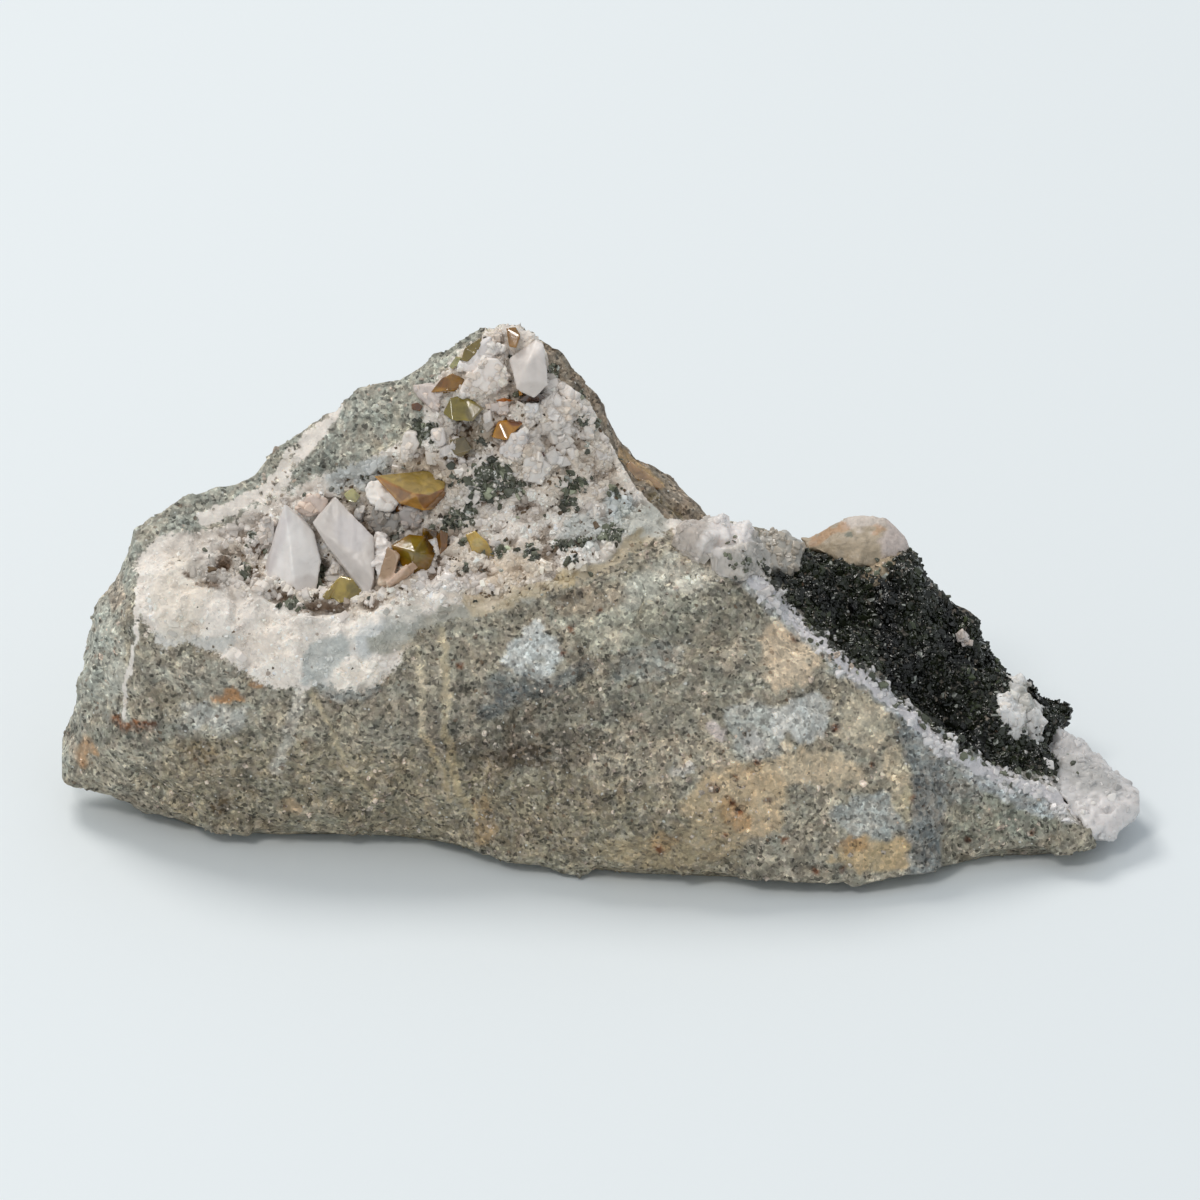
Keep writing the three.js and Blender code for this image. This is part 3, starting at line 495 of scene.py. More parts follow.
# Colour in layers, each a tint, how much of it, and where: an oval's (across, up, half width, half
# height, lean), a streak's width and corners, or the corners of a patch with a crisp edge.
GNEISS_OVALS = [
    ("#8d9490", 0.5, (-38.4, 31.1, 3, 2, 20)), ("#8d9490", 0.6, (-32.7, 35.6, 1.8, 2.6, -20)),
    # Painted shade: the three darker greys on the next line shade the undercut lower front.
    ("#7c766a", 0.55, (-13, 7, 9, 5)), ("#837d70", 0.5, (-1, -2, 10, 4)), ("#8c887c", 0.4, (-38, 3, 9, 4)),
    # Painted light: the first oval on the next line lightens a facet of the front that faces up.
    ("#cfcbb8", 0.7, (3, 20.6, 8, 4, 10)), ("#e8ecea", 0.85, (-6.9, 16.2, 3.3, 2.9, 20)),
    ("#868c8c", 0.6, (-10.6, 12.4, 3, 2, 30)), ("#aeb4b2", 0.6, (4.4, 14.6, 3, 1.6, 20)),
    ("#a9afae", 0.6, (7.8, 16.7, 2, 1.6)), ("#d5d8d6", 0.5, (-43.3, 8.9, 4.6, 2, 8)),
    ("#b9b6aa", 0.5, (-44, 13.6, 5, 2.4)), ("#b9bfc0", 0.6, (-27.8, 12.2, 3, 1.6)),
    ("#c9cbc6", 0.7, (17.2, 7.8, 3.4, 3)), ("#dfe0dc", 0.85, (22.6, 9.1, 3.4, 2.2)),
    ("#cdd0cc", 0.8, (25.8, 16.6, 2.2, 3.6, 40)), ("#bdc1be", 0.8, (30, -1.7, 4.6, 3)),
    ("#9c9f9c", 0.7, (40, 3.6, 3, 4, 40)), ("#8f9488", 0.6, (46, -2, 7, 3)),
    ("#e9d5b9", 0.95, (20.8, 16.2, 2.5, 3.4, 20)), ("#dcc5a2", 0.9, (15.4, 0.4, 6, 4, 20)),
    ("#c8b394", 0.75, (11.1, -4.4, 4.2, 2.4)), ("#e0cdaf", 0.95, (22.8, 4, 5, 2.4)),
    ("#d6cab2", 0.9, (29.4, 8.6, 2.8, 3.4)), ("#d2c4aa", 0.9, (33.4, 3.2, 1.8, 2.8)),
    ("#d6bd94", 0.9, (31.4, -5.8, 5.2, 1.9)), ("#cdc2a2", 0.7, (34.6, 0, 1.8, 1.8)),
    # Painted light: both ovals on the next line lighten the same facet further to the right.
    ("#f2ecdc", 0.9, (10.4, 25.4, 3.6, 2.6, 20)), ("#d3d2c6", 0.6, (6, 23.4, 4, 2.2, 20)),
    ("#c8b594", 0.85, (5.4, -6, 6.4, 1.8, -4)), ("#c89f76", 0.75, (-58.2, 5.8, 1.6, 1.6)),
    ("#d2b595", 0.8, (-34.4, -0.6, 1, 1.2, 30)), ("#c09a6c", 0.6, (-12.9, -2.6, 1.2, 2.8)),
    ("#c2b5a0", 0.45, (6, 4, 9, 2.4, 10)), ("#dcd2cf", 0.9, (13.4, 7.7, 1, 1.1)),
    ("#d8d6d2", 0.7, (9.1, 3.8, 1.2, 0.6)), ("#d8d6d2", 0.7, (17.2, 6.6, 1, 0.6)),
    # Painted shade: the first oval on the next line is a brownish shadow beside the crystals by the peak.
    ("#a49e8b", 0.7, (-18.6, 48.6, 2.4, 1.6, 45)), ("#d3d2c6", 0.8, (-55.4, 15, 3.2, 6)),
    ("#c9bcb4", 0.7, (-1.4, 45.2, 1, 1.4, -30)), ("#b7a48a", 0.95, (30.6, 26.4, 4, 2.6)),
    ("#b9b0aa", 0.9, (41, 17.4, 1.5, 1, -35)), ("#c6bcb5", 0.95, (21.6, 27.4, 2.6, 2.6)),
    ("#9a988f", 0.8, (19, 29.4, 2.4, 1.4)), ("#b5b3ac", 0.95, (49.8, 2.6, 3.6, 2.6, -35)),
    ("#d9d4d0", 0.9, (51.6, 0, 3, 2, -35)), ("#8e5a34", 0.9, (-52.4, 8.7, 1.8, 0.7, 5)),
    ("#5e3218", 0.9, (-50.6, 9, 0.8, 0.9)), ("#b98654", 0.8, (-41.3, 11.7, 1.3, 0.6)),
    ("#b98654", 0.6, (-38, 12.4, 0.9, 0.5)), ("#a4662f", 0.9, (-54.2, 23.3, 0.9, 2.2, -15)),
    ("#3c2213", 1, (-42, -0.7, 0.9, 0.9)), ("#5c4428", 0.7, (-44.6, 4.8, 2.2, 1.2, -20)),
    ("#665b4b", 0.55, (-8, 6.2, 9.5, 2.6)), ("#4f3822", 0.9, (-8.9, 5, 2.8, 1.5, 10)),
    ("#55402a", 0.6, (-12.6, 4.6, 1.4, 1.2)), ("#7c5a3c", 0.4, (-1.3, 22.4, 4, 1.8, 10)),
    ("#c4935c", 0.55, (15, -1.6, 1.5, 1.8)), ("#c4935c", 0.5, (6.6, -4.6, 1.4, 1)),
    ("#c4935c", 0.5, (27.9, -4.8, 2, 0.8)),
]
# The bands and thin veins of feldspar that cross the rock, the weathered side of the peak, and streaks of
# painted shade on the front.
GNEISS_STREAKS = [
    ("#b4b7ad", 0.75, 9, (-62, 6), (-55, 26), (-46, 33), (-30, 40), (-18, 49), (-10, 54)),
    # Painted shade: the next streak darkens a hollow that runs across the front from upper right to lower
    # left.
    ("#6b6a5e", 0.4, 7, (16.1, 23.3), (11.1, 20), (2.2, 12.2), (-13.3, 3.3)),
    # Painted shade: the next streak darkens the crease under a ledge on the lower left.
    ("#6d6f66", 0.5, 2.2, (-59, 7.4), (-51, 6.9), (-46, 8.2)),
    ("#8e8266", 0.45, 12, (-44, 2), (-24, 0), (0, -3), (10, -5)),
    ("#666d70", 0.65, 2.2, (-12.6, 9.8), (-9, 12), (-5, 12.6), (-1.6, 14.6)),
    # Painted shade: the next streak darkens a face of the front turned down and away from the light.
    ("#6c6a5e", 0.4, 3, (15.4, 24.6), (14, 19), (10.6, 14.4)),
    # Painted shade: the next two streaks darken, in blue-grey, the face of a step down to the right.
    ("#878b8b", 0.85, 4.2, (33.2, 12), (35.4, 7), (36.6, 3), (36.3, -1), (36, -7.4)),
    ("#6a6e6e", 0.6, 1.8, (35.6, 2.4), (35.6, -1), (36.4, -4), (37, -6.4)),
    ("#cfcbbf", 0.8, 0.6, (-51.5, 22.4), (-51.4, 17.8), (-52.2, 15), (-52.9, 12.2), (-53, 9.3)),
    ("#d5d0bd", 0.6, 0.4, (-48.7, 12.2), (-48.2, 10.6), (-48, 8)),
    ("#cfc4ab", 0.9, 0.85, (-20.3, 16.6), (-19.9, 12.2), (-19.7, 7.4)),
    ("#cdc0a3", 0.9, 0.95, (-17.5, 18.6), (-17, 13.3), (-17.4, 8)),
    ("#c4b18c", 0.55, 0.8, (-19.7, 7.4), (-17.8, 3.9), (-16.7, 0)),
    ("#c4b18c", 0.6, 1, (-17.4, 8), (-16.4, 5), (-15.8, 1.1), (-14, -2)),
    ("#cfcabf", 0.7, 1.5, (-33.3, 12.2), (-34.4, 7.8), (-36.1, 3.3)),
    ("#cbbd9e", 0.7, 0.55, (-32, 12), (-29.4, 6.7), (-27.8, 3.3), (-25.3, 0.6)),
    ("#e0d9cb", 0.95, 1.5, (-44, 31.4), (-40.6, 32.6), (-36.6, 34.6), (-34, 38.4), (-31, 41.4)),
    ("#ddd6ca", 0.9, 1.3, (-35.6, 33.4), (-34.4, 37), (-31.4, 40.6), (-29.1, 43.6)),
    ("#b9bcbc", 0.8, 3, (14.6, 26.6), (18.3, 23.4), (22.2, 19.6), (26.1, 16.2), (30, 13)),
    ("#b9bdbf", 0.8, 2.6, (30, 13), (33.3, 10.4), (37.8, 6.4), (41.7, 3.1), (45.6, 0.6), (50, -1)),
    ("#dbd6d0", 0.8, 2, (9, 30.4), (12, 28), (15, 26.2)), ("#bdb39b", 0.7, 0.8, (0.4, 26.7), (4.4, 30)),
    ("#5a574c", 0.6, 0.5, (3.4, 24.6), (5.8, 27.1)),
    ("#8f8272", 0.95, 7, (-5, 51), (-1, 46.4), (2, 42), (5, 37.4), (9.6, 33)),
    ("#6a5c54", 0.6, 1.3, (-2.2, 48.6), (0.4, 44.4), (2.4, 40.6), (5.2, 37.8)),
    ("#b79a72", 0.9, 1.2, (2.6, 38.4), (4.4, 36.8), (6.8, 35)),
    ("#6f6247", 0.8, 1.1, (5.6, 34.2), (7, 32.8), (8.8, 31.6)),
    ("#cbbab0", 0.9, 3, (33.6, 30.6), (35.8, 27.6), (37.6, 24)),
]
RUST_DOTS = [
    (17.6, 4), (30.2, 3.8), (26.1, 8.1), (21.6, 17.7), (18.8, -0.1), (34.6, 0.2), (24, -7.7), (27.1, -7.8),
    (15.6, -1.3), (15.2, 2.4), (14.9, -0.4), (15.4, -1.4), (14, -4), (6.6, -5.4), (0, 21.2), (-3.3, 19.2),
    (-4.3, 16.3), (-15.4, 14.8), (12.6, 1.2), (20.4, -4.4), (48, -3.6), (41, -4.4),
]
FELDSPAR_TINTS = [
    # Painted shade: the first oval on the next line is the same brownish shadow, where the vein's colour
    # lies.
    ("#a49a82", 0.7, (-17.6, 48.8, 1.6, 1.4, 45)), ("#dcc8ae", 0.5, (-9, 25.6, 4, 1.6, 10)),
    # Soil and painted shade: the first oval on the next line darkens a cavity brown.
    ("#857358", 0.75, (-13.8, 40.2, 2.2, 1.8)), ("#f2e9e0", 0.9, (-10.6, 30.2, 3.2, 1.3, 8)),
    ("#c6cbc9", 0.6, (-44.9, 17.6, 4.6, 1.2, -4)), ("#c4c8c5", 0.85, (-30.5, 15.6, 1.9, 3.4, -20)),
    ("#b9c0c0", 0.7, (-27.4, 36.2, 4, 1.6, 20)), ("#c6cccd", 0.7, (-25.6, 18.6, 2.6, 2, 30)),
    ("#c0c8c8", 0.8, (2.1, 32.9, 1.6, 2)), ("#bcc2bf", 0.7, (-2.2, 30, 3.4, 1.8, 20)),
    ("#b8bcb4", 0.7, (4.6, 30.6, 3, 2.4)), ("#f3e9de", 0.9, (-35.7, 17.3, 3, 2.2, -20)),
    ("#f6ede2", 0.95, (-26.8, 13.9, 3.2, 2.3, 10)), ("#eee3d4", 0.6, (-46.7, 22.5, 3.4, 4.4)),
    ("#a6a497", 0.75, 3, (-24.6, 18), (-17, 19.9), (-9, 21.6), (-3, 24), (4, 27.6)),
    ("#bdbdb6", 0.7, (-22.6, 20, 2.6, 1.6, 15)),
    ("#cdb892", 0.5, 2.2, (-14, 21.6), (-6, 23.4), (0, 25.6), (5, 28.4)),
    ("#a9a39b", 0.6, (-43, 25.6, 3, 1.6, -10)), ("#bdb4aa", 0.5, (-46, 28.6, 4, 1.4, 15)),
    ("#e4d8cc", 0.5, (-12.1, 47, 3, 2, 30)), ("#c7b49c", 0.5, (-19, 36, 4, 2)),
    ("#cdb98f", 0.5, (-3.3, 24.9, 1.4, 1)), ("#d0bb98", 0.5, (-19, 17.6, 3, 1)),
]
# A dark brown for soil and for painted shade in the cleft's pits and crevices.
SOIL_AND_SHADE = "#5a4025"
RUST_DOT = 0.38  # the radius of each rust dot
HOLLOW_TURNS = 10  # a hollow is told against the mean over this many turns


def toward(colour, tint, share):
    """Colours on the way to a tint, by a share for each."""
    return colour + ((rgb(tint) if isinstance(tint, str) else tint) - colour) * share[:, None]


def tinted(colour, seen, layers, uneven=0):
    """The colour of each point after the layers, one over the other. `uneven` makes their edges ragged."""
    soft = 0.1 if np.isscalar(uneven) else 0.25
    for tint, strength, first, *corners in layers:
        if np.isscalar(first):
            mask = streak(seen, first, *corners)
        elif corners:
            mask = smoothstep(inside_by([first, *corners], seen), -0.12, 0.12)
        else:
            mask = oval(seen, *first)
        mask = smoothstep(mask + uneven * smoothstep(mask, 0, 0.2), soft, 1 - soft)
        colour = toward(colour, tint, strength * mask)
    return colour


points = points_of(skin)
mm, seen = survey(skin)
front = facing(skin, -0.1, 0.2)
fine_warp = drift(mm, 1.1, 95)
ragged = shifted(seen, 0.35 * fine_warp)
cloudy = shifted(seen, 0.6 * fine_warp + 1.1 * drift(mm, 4, 97))
uneven = 0.45 * ripple(mm, 0.8, 99) + 0.35 * ripple(mm, 1.9, 100)

mottle = 1 + 0.14 * ripple(mm, 7, 41) + 0.17 * ripple(mm, 2.6, 42) + 0.17 * ripple(mm, 1.1, 45)
plain_rock = rgb("#a09a8a") * mottle[:, None]
rock = tinted(tinted(plain_rock, cloudy, GNEISS_OVALS, uneven), ragged, GNEISS_STREAKS, 0.6 * uneven)
for across, up in RUST_DOTS:
    rock = toward(rock, "#6a3a1a", 0.9 * oval(ragged, across, up, RUST_DOT, RUST_DOT))
rock = toward(plain_rock, rock, front)
rock = toward(rock, "#141712", chlorite_here)

white = rgb("#f2eae1") * (1 + 0.09 * ripple(mm, 2.6, 43) + 0.08 * ripple(mm, 0.9, 49))[:, None]
grimy = cleft_here * smoothstep(ripple(mm, 4.5, 46) + 0.9 * ripple(mm, 1.3, 47), -0.5, 0.6)
white = toward(white, "#a88f6a", 0.36 * grimy)
white = tinted(white, cloudy, FELDSPAR_TINTS, 0.6 * uneven)
hollow = neighbour_mean(skin, points, HOLLOW_TURNS) - points
hollow = np.sum(hollow * normals_of(skin), axis=1) / MM  # how far a point lies below its surroundings
# Painted shade and soil: points in the cleft that lie below their surroundings are darkened brown.
soil_and_shade_in_pits = smoothstep(hollow, 0.0, 0.14) * cleft_here * smoothstep(ripple(mm, 5, 44), -0.8, 0.4)
white = toward(white, SOIL_AND_SHADE, 0.6 * soil_and_shade_in_pits)
# Painted shade and soil: each crevice is also painted dark brown.
for *where, _ in CREVICES:
    white = toward(white, SOIL_AND_SHADE, 0.85 * oval(ragged, *where, edge=0.4))

# The thin veins, each a width and its corners, are feldspar too.
BAND = [
    (14.6, 26.6), (18.3, 23.4), (22.2, 19.6), (26.1, 16.2), (30, 13), (33.3, 10.4), (37.8, 6.4),
    (41.7, 3.8), (46, 2.2), (50, 0.8), (53, -1),
]
VEINLETS = [
    (1.8, (-44, 31.4), (-40.6, 32.6), (-36.6, 34.6), (-34, 38.4), (-31, 41.4)),
    (1.2, (-35.6, 33.4), (-34.4, 37), (-31.4, 40.6), (-29.1, 43.6)),
    (0.6, (-51.5, 22.4), (-51.4, 17.8), (-52.2, 15), (-52.9, 12.2), (-53, 9.3)),
    (2, (9, 30.4), (12, 28), (15, 26.2)),
]
in_vein = np.clip(inside_by(VEIN, ragged), -2, 2)
for width, *corners in [*VEINLETS, (1.7, *BAND)]:
    in_vein = np.maximum(in_vein, np.clip(2.4 * (streak(ragged, width, *corners) - 0.5), -2, 0.45))
white = toward(white, rgb("#d6d3d5") * (1 + 0.1 * ripple(mm, 1.2, 48))[:, None], streak(seen, 6, *BAND))
in_vein = np.minimum(in_vein, np.minimum(6 * (front - 0.5), 4 * (0.5 - side_here) - 3 * chlorite_here))
paint(skin, "tint", np.clip(rock, 0.002, 1))
paint(skin, "vein", np.clip(white, 0.002, 1))
paint(skin, "feldspar", in_vein)
# Clay and rust have soaked into some patches, and pale ones have less mica: the grain is calmer there.
soaked = smoothstep((rock[:, 0] - rock[:, 2]) / rock[:, 0], 0.3, 0.42) * smoothstep(rock[:, 0], 0.3, 0.5)
paint(skin, "calm", np.maximum(soaked, 0.75 * smoothstep(rock[:, 1], 0.38, 0.62)))

# Gneiss, broken by hammer and frost: quartz, feldspar and dark mica grains of 0.2 to 0.8 mm give it a
# matt salt-and-pepper look. The vein in it is milky feldspar, smoother, softer and a little deep.
gneiss = new_material("broken gneiss")
place_on = add(gneiss, "TexCoord", {}, "Object")
bend = add(gneiss, "TexNoise", {"Vector": place_on, "Scale": 1 / (0.5 * MM), "Detail": 3.0}, "Color")
bent = add(gneiss, "VectorMath", {0: bend, 1: [0.5 * MM] * 3, 2: place_on}, operation="MULTIPLY_ADD")


def cells(size, channel="Red"):
    """Grains of a size, bent out of shape: a number for each, and the distance from its middle."""
    colour = add(gneiss, "TexVoronoi", {"Vector": bent, "Scale": 1 / (size * MM)}, "Color")
    return add(gneiss, "SeparateColor", {"Color": colour}, channel), colour.node.outputs["Distance"]


def specks(size, channel, share, radius):
    """1 in specks: a share of the cells holds one, up to a radius as a part of the cell."""
    pick, distance = cells(size, channel)
    reach = add(gneiss, "MapRange", {"Value": pick, "From Min": 1 - share, "To Max": radius})
    return add(gneiss, "Math", {0: reach, 1: distance}, operation="GREATER_THAN")


# The vein's edge is told in millimetres inside it, and broken up as finely as the rock's grain.
rock_tint, vein_tint = (add(gneiss, "Attribute", {}, attribute_name=name) for name in ("tint", "vein"))
inside, calm = (add(gneiss, "Attribute", {}, "Fac", attribute_name=name) for name in ("feldspar", "calm"))
frayed = {"Vector": place_on, "Scale": 1 / (0.7 * MM), "Detail": 6.0, "Roughness": 0.7}
fray = add(gneiss, "Math", {0: add(gneiss, "TexNoise", frayed), 1: 3.2, 2: -1.6}, operation="MULTIPLY_ADD")
edge = add(gneiss, "Math", {0: inside, 1: fray}, operation="ADD")
milky = add(gneiss, "MapRange", {"Value": edge, "From Min": -0.2, "From Max": 0.2})
lively = add(gneiss, "MapRange", {"Value": calm, "To Min": 1.0, "To Max": 0.45})
rock_only = add(gneiss, "Math", {0: 1.0, 1: milky}, operation="SUBTRACT")
rock_only = add(gneiss, "Math", {0: rock_only, 1: lively}, operation="MULTIPLY")
tint = add(gneiss, "MixRGB", {"Fac": milky, "Color1": rock_tint, "Color2": vein_tint})
# Some grains of any patch are of the rock's plain colour.
foreign = add(gneiss, "Math", {0: cells(0.5, "Green")[0], 1: 0.6}, operation="GREATER_THAN")
for factor in (rock_only, 0.4):
    foreign = add(gneiss, "Math", {0: foreign, 1: factor}, operation="MULTIPLY")
tint = add(gneiss, "MixRGB", {"Fac": foreign, "Color1": tint, "Color2": linear("#a29a8f")})
# Single grains of 0.34 mm, clumps of 0.95 mm, and mottling and warm and cool clouds over them.
PEPPER = [(0, 0.28), (0.14, 0.78), (0.5, 1.1), (0.82, 1.34), (0.94, 1.6), (1, 2.0)]
CLUMPS = [(0, 0.74), (0.5, 1.0), (1, 1.3)]
PATCHY = [(0.36, 0.68), (0.5, 1.0), (0.64, 1.34)]
HUE = [(0.36, (0.95, 1, 1.02)), (0.64, (1.08, 1.0, 0.94))]
blotch = {"Vector": place_on, "Scale": 1 / (1.3 * MM), "Detail": 8.0, "Roughness": 0.74}
cloud = {"Vector": place_on, "Scale": 1 / (2.6 * MM), "Detail": 7.0, "Roughness": 0.68, "Distortion": 0.8}
blotches = add(gneiss, "TexNoise", blotch)
mottled = add(gneiss, "ValToRGB", {"Fac": cells(0.34)[0]}, stops=PEPPER)
for value, stops in [(cells(0.95)[0], CLUMPS), (blotches, PATCHY), (add(gneiss, "TexNoise", cloud), HUE)]:
    shade = add(gneiss, "ValToRGB", {"Fac": value}, stops=stops)
    mottled = add(gneiss, "MixRGB", {"Fac": 1.0, "Color1": mottled, "Color2": shade}, blend_type="MULTIPLY")
soft = add(gneiss, "MapRange", {"Value": milky, "To Min": 1.0, "To Max": 0.16})
soft = add(gneiss, "Math", {0: soft, 1: lively}, operation="MULTIPLY")
mottled = add(gneiss, "MixRGB", {"Fac": soft, "Color1": [0.98] * 3 + [1], "Color2": mottled})
surface = add(gneiss, "MixRGB", {"Fac": 1.0, "Color1": mottled, "Color2": tint}, blend_type="MULTIPLY")
# Clusters of dark mica, specks of rust, and smoother quartz grains painted near white, partly their pale
# colour and partly a painted glint.
glint = specks(0.8, "Green", 0.4, 0.2)
for mask, amount, where, colour in [
    (specks(0.75, "Blue", 0.55, 0.36), 0.72, rock_only, "#3c3c32"),
    (specks(1.1, "Green", 0.4, 0.24), 0.55, 1.0, "#6a4b30"),
    (glint, 0.7, rock_only, "#e9eae6"),
]:
    for factor in (amount, where):
        mask = add(gneiss, "Math", {0: mask, 1: factor}, operation="MULTIPLY")
    surface = add(gneiss, "MixRGB", {"Fac": mask, "Color1": surface, "Color2": linear(colour)})
crisp = add(gneiss, "MapRange", {"Value": milky, "To Min": 0.9, "To Max": 0.5})
surfaced(
    gneiss,
    Base_Color=surface,
    Roughness=add(gneiss, "Math", {0: glint, 1: -0.4, 2: 0.85}, operation="MULTIPLY_ADD"),
    Normal=add(gneiss, "Bump", {"Height": blotches, "Strength": crisp, "Distance": 0.6 * MM}),
    Subsurface_Weight=add(gneiss, "Math", {0: milky, 1: 0.35}, operation="MULTIPLY"),
    Subsurface_Radius=(1, 0.9, 0.82),
    Subsurface_Scale=0.3 * MM,
)

# Everything that grew on the rock is seated on this skin.
bpy.context.view_layer.update()
skin_tree = tree_of(stone)
CRYSTALS = [name for name in cad if name.startswith(("adularia", "titanite", "quartz", "feldspar_lobe"))]
grown = copy_of("grown", *CRYSTALS)
grown_tree = tree_of(grown)
bpy.data.objects.remove(grown)
dice = np.random.default_rng(11)
DETAIL = 1
FLAKES, GRAINS, CRUMBS, DRUSE_BLOCKS = 9400, 6500, 2600, 1300
NEAR_SKIN = 0.45  # what lies closer to the skin than this belongs to a crystal's root
ROOT_DEPTH = 0.9  # how far a root is pushed into the rock
FOOT_DEPTH = 1.2  # how far under the skin a small crystal starts


def seat(across, up):
    """How far toward the eye the skin is met at a seen place."""
    hit = skin_tree.ray_cast(Vector(from_seen([across, up, 60])), Vector(-TOWARDS))[0]
    if hit is None:
        hit = skin_tree.find_nearest(Vector(from_seen([across, up, 8])))[0]
    return as_seen(np.array(hit)[None])[0, 2]


def scattered(mesh, share, count, *fields):
    """Points on a mesh, picked by area and by a share at each of its points, with the normals and the
    values of fields there."""
    mesh.calc_loop_triangles()
    corners = read(mesh.loop_triangles, "vertices", 3, np.int32)
    points, normals = points_of(mesh), normals_of(mesh)
    a, b, c = (points[corners[:, i]] for i in range(3))
    weight = np.linalg.norm(np.cross(b - a, c - a), axis=1) * share[corners].mean(axis=1)
    picked = corners[dice.choice(len(corners), int(count * DETAIL), p=weight / weight.sum())]
    mix = dice.dirichlet((1, 1, 1), len(picked))
    at = np.einsum("ni,nij->nj", mix, points[picked])
    up = np.einsum("ni,nij->nj", mix, normals[picked])
    found = [np.einsum("ni,ni...->n...", mix, field[picked]) for field in fields]
    return at, up / np.linalg.norm(up, axis=1)[:, None], *found


def clear_of_crystals(at, radius):
    """Which places have room for a solid of this radius beside the large crystals."""
    return np.array([grown_tree.find_nearest(Vector(p))[3] > r * MM for p, r in zip(at, radius)])


def solid(corners, worn=0.0):
    """The convex solid around some corners, its edges worn by an amount: points and triangles."""
    made = bmesh.new()
    for corner in corners:
        made.verts.new(corner)
    hull = bmesh.ops.convex_hull(made, input=made.verts)
    bmesh.ops.delete(made, geom=list({*hull["geom_interior"], *hull["geom_unused"]}), context="VERTS")
    bmesh.ops.dissolve_limit(made, angle_limit=0.05, verts=made.verts, edges=made.edges)
    if worn:
        bmesh.ops.bevel(made, geom=made.edges[:], offset=worn, segments=1, profile=0.5, affect="EDGES")
    bmesh.ops.triangulate(made, faces=made.faces)
    bmesh.ops.recalc_face_normals(made, faces=made.faces)
    made.verts.index_update()
    points = np.array([vert.co[:] for vert in made.verts])
    faces = np.array([[vert.index for vert in face.verts] for face in made.faces])
    made.free()
    return points, faces


def joined(name, solids, tints):
    """One object of many solids, each in its own tint."""
    starts = np.cumsum([0] + [len(points) for points, _ in solids])
    points = np.concatenate([points for points, _ in solids])
    faces = np.concatenate([faces + start for (_, faces), start in zip(solids, starts)])
    mesh = bpy.data.meshes.new(name)
    mesh.from_pydata(points.tolist(), [], faces.tolist())
    move_points(mesh, points_of(mesh))
    paint(mesh, "tint", np.repeat(tints, np.diff(starts), axis=0))
    return new_object(name, mesh)


def strewn(name, shapes, at, up, size, low, high, sunk, lean, tints):
    """Small solids stood at places on the skin, turned and tilted by chance. Each is `low` to `high` times
    its size along its own axes, and sunk into the skin by a share of it."""
    sizes = size[:, None] * dice.uniform(low, high, (len(at), 3))
    axis = up + lean * dice.normal(size=up.shape) * 0.5
    axis /= np.linalg.norm(axis, axis=1)[:, None]
    side = np.cross(axis, dice.normal(size=up.shape))
    side /= np.linalg.norm(side, axis=1)[:, None]
    frames = np.stack([side, np.cross(axis, side), axis], axis=1)
    solids = []
    for where, turn, scale in zip(at - up * (sunk * size * MM)[:, None], frames, sizes):
        points, faces = shapes[dice.integers(len(shapes))]
        solids.append(((points * scale * MM) @ turn + where, faces))
    return joined(name, solids, tints)


def jittered(amount, corners):
    return np.array(corners) + dice.uniform(-amount, amount, (len(corners), 3))


# Templates about 1 wide that stand on z = 0: oblique blocks of feldspar and thin flakes.
BLOCK = [(x * 0.4, y * 0.5, z) for x in (-1, 1) for y in (-1, 1) for z in (-0.4, 0.45)]
ROOF = [
    (-0.45, 0, -0.4), (0.45, 0, -0.4), (0, -0.4, -0.4), (0, 0.4, -0.4),
    (-0.45, 0, 0.3), (0.45, 0, 0.3), (0, -0.38, 0.55), (0, 0.38, 0.5),
]
FLAKE = [
    (0.5 * math.cos(t), 0.5 * math.sin(t), z) for t in np.arange(5) * math.tau / 5 for z in (-0.13, 0.13)
]
blocks = [solid(jittered(0.14, BLOCK if i % 3 else ROOF), 0.09) for i in range(9)]
flakes = [solid(jittered(0.12, FLAKE)) for i in range(9)]


def paint_layers(mesh, ground, layers, mottle=0.06, size=1.6, wander=0.25):
    """Paints a mesh with a ground colour and layers of tint, all a little mottled."""
    mm, seen = survey(mesh)
    colour = rgb(ground) * (1 + mottle * ripple(mm, size, 53))[:, None]
    colour = tinted(colour, shifted(seen, wander * drift(mm, 0.9, 51)), layers)
    paint(mesh, "tint", np.clip(colour, 0.002, 1))


def milky_mineral(name, roughness, depth, milkiness, cloud, mottle, grit):
    """A milky mineral in its painted tint. Light goes `depth` into it, `cloud` is the width of its veils."""
    mineral = new_material(name)
    place_on = add(mineral, "TexCoord", {}, "Object")
    tint = add(mineral, "Attribute", {}, attribute_name="tint")
    veils = {"Scale": 1 / (cloud * MM), "Detail": 4.0, "Roughness": 0.6, "Distortion": 0.6}
    veil = add(mineral, "TexNoise", {"Vector": place_on, **veils})
    stops = [(0.32, 1 - mottle), (0.5, 1 - 0.3 * mottle), (0.68, 1.0)]
    shade = add(mineral, "ValToRGB", {"Fac": veil}, stops=stops)
    veiled = {"Fac": 1.0, "Color1": tint, "Color2": shade}
    sheen = {"From Min": 0.3, "From Max": 0.7, "To Min": roughness - 0.1, "To Max": roughness + 0.15}
    fine = add(mineral, "TexNoise", {"Vector": place_on, "Scale": 1 / (0.3 * MM), "Detail": 3.0})
    return surfaced(
        mineral,
        Base_Color=add(mineral, "MixRGB", veiled, blend_type="MULTIPLY"),
        Roughness=add(mineral, "MapRange", {"Value": veil, **sheen}),
        Normal=add(mineral, "Bump", {"Height": fine, "Strength": grit, "Distance": 0.1 * MM}),
        Subsurface_Weight=milkiness,
        Subsurface_Radius=(1, 0.9, 0.82),
        Subsurface_Scale=depth * MM,
        IOR=1.54,
    )


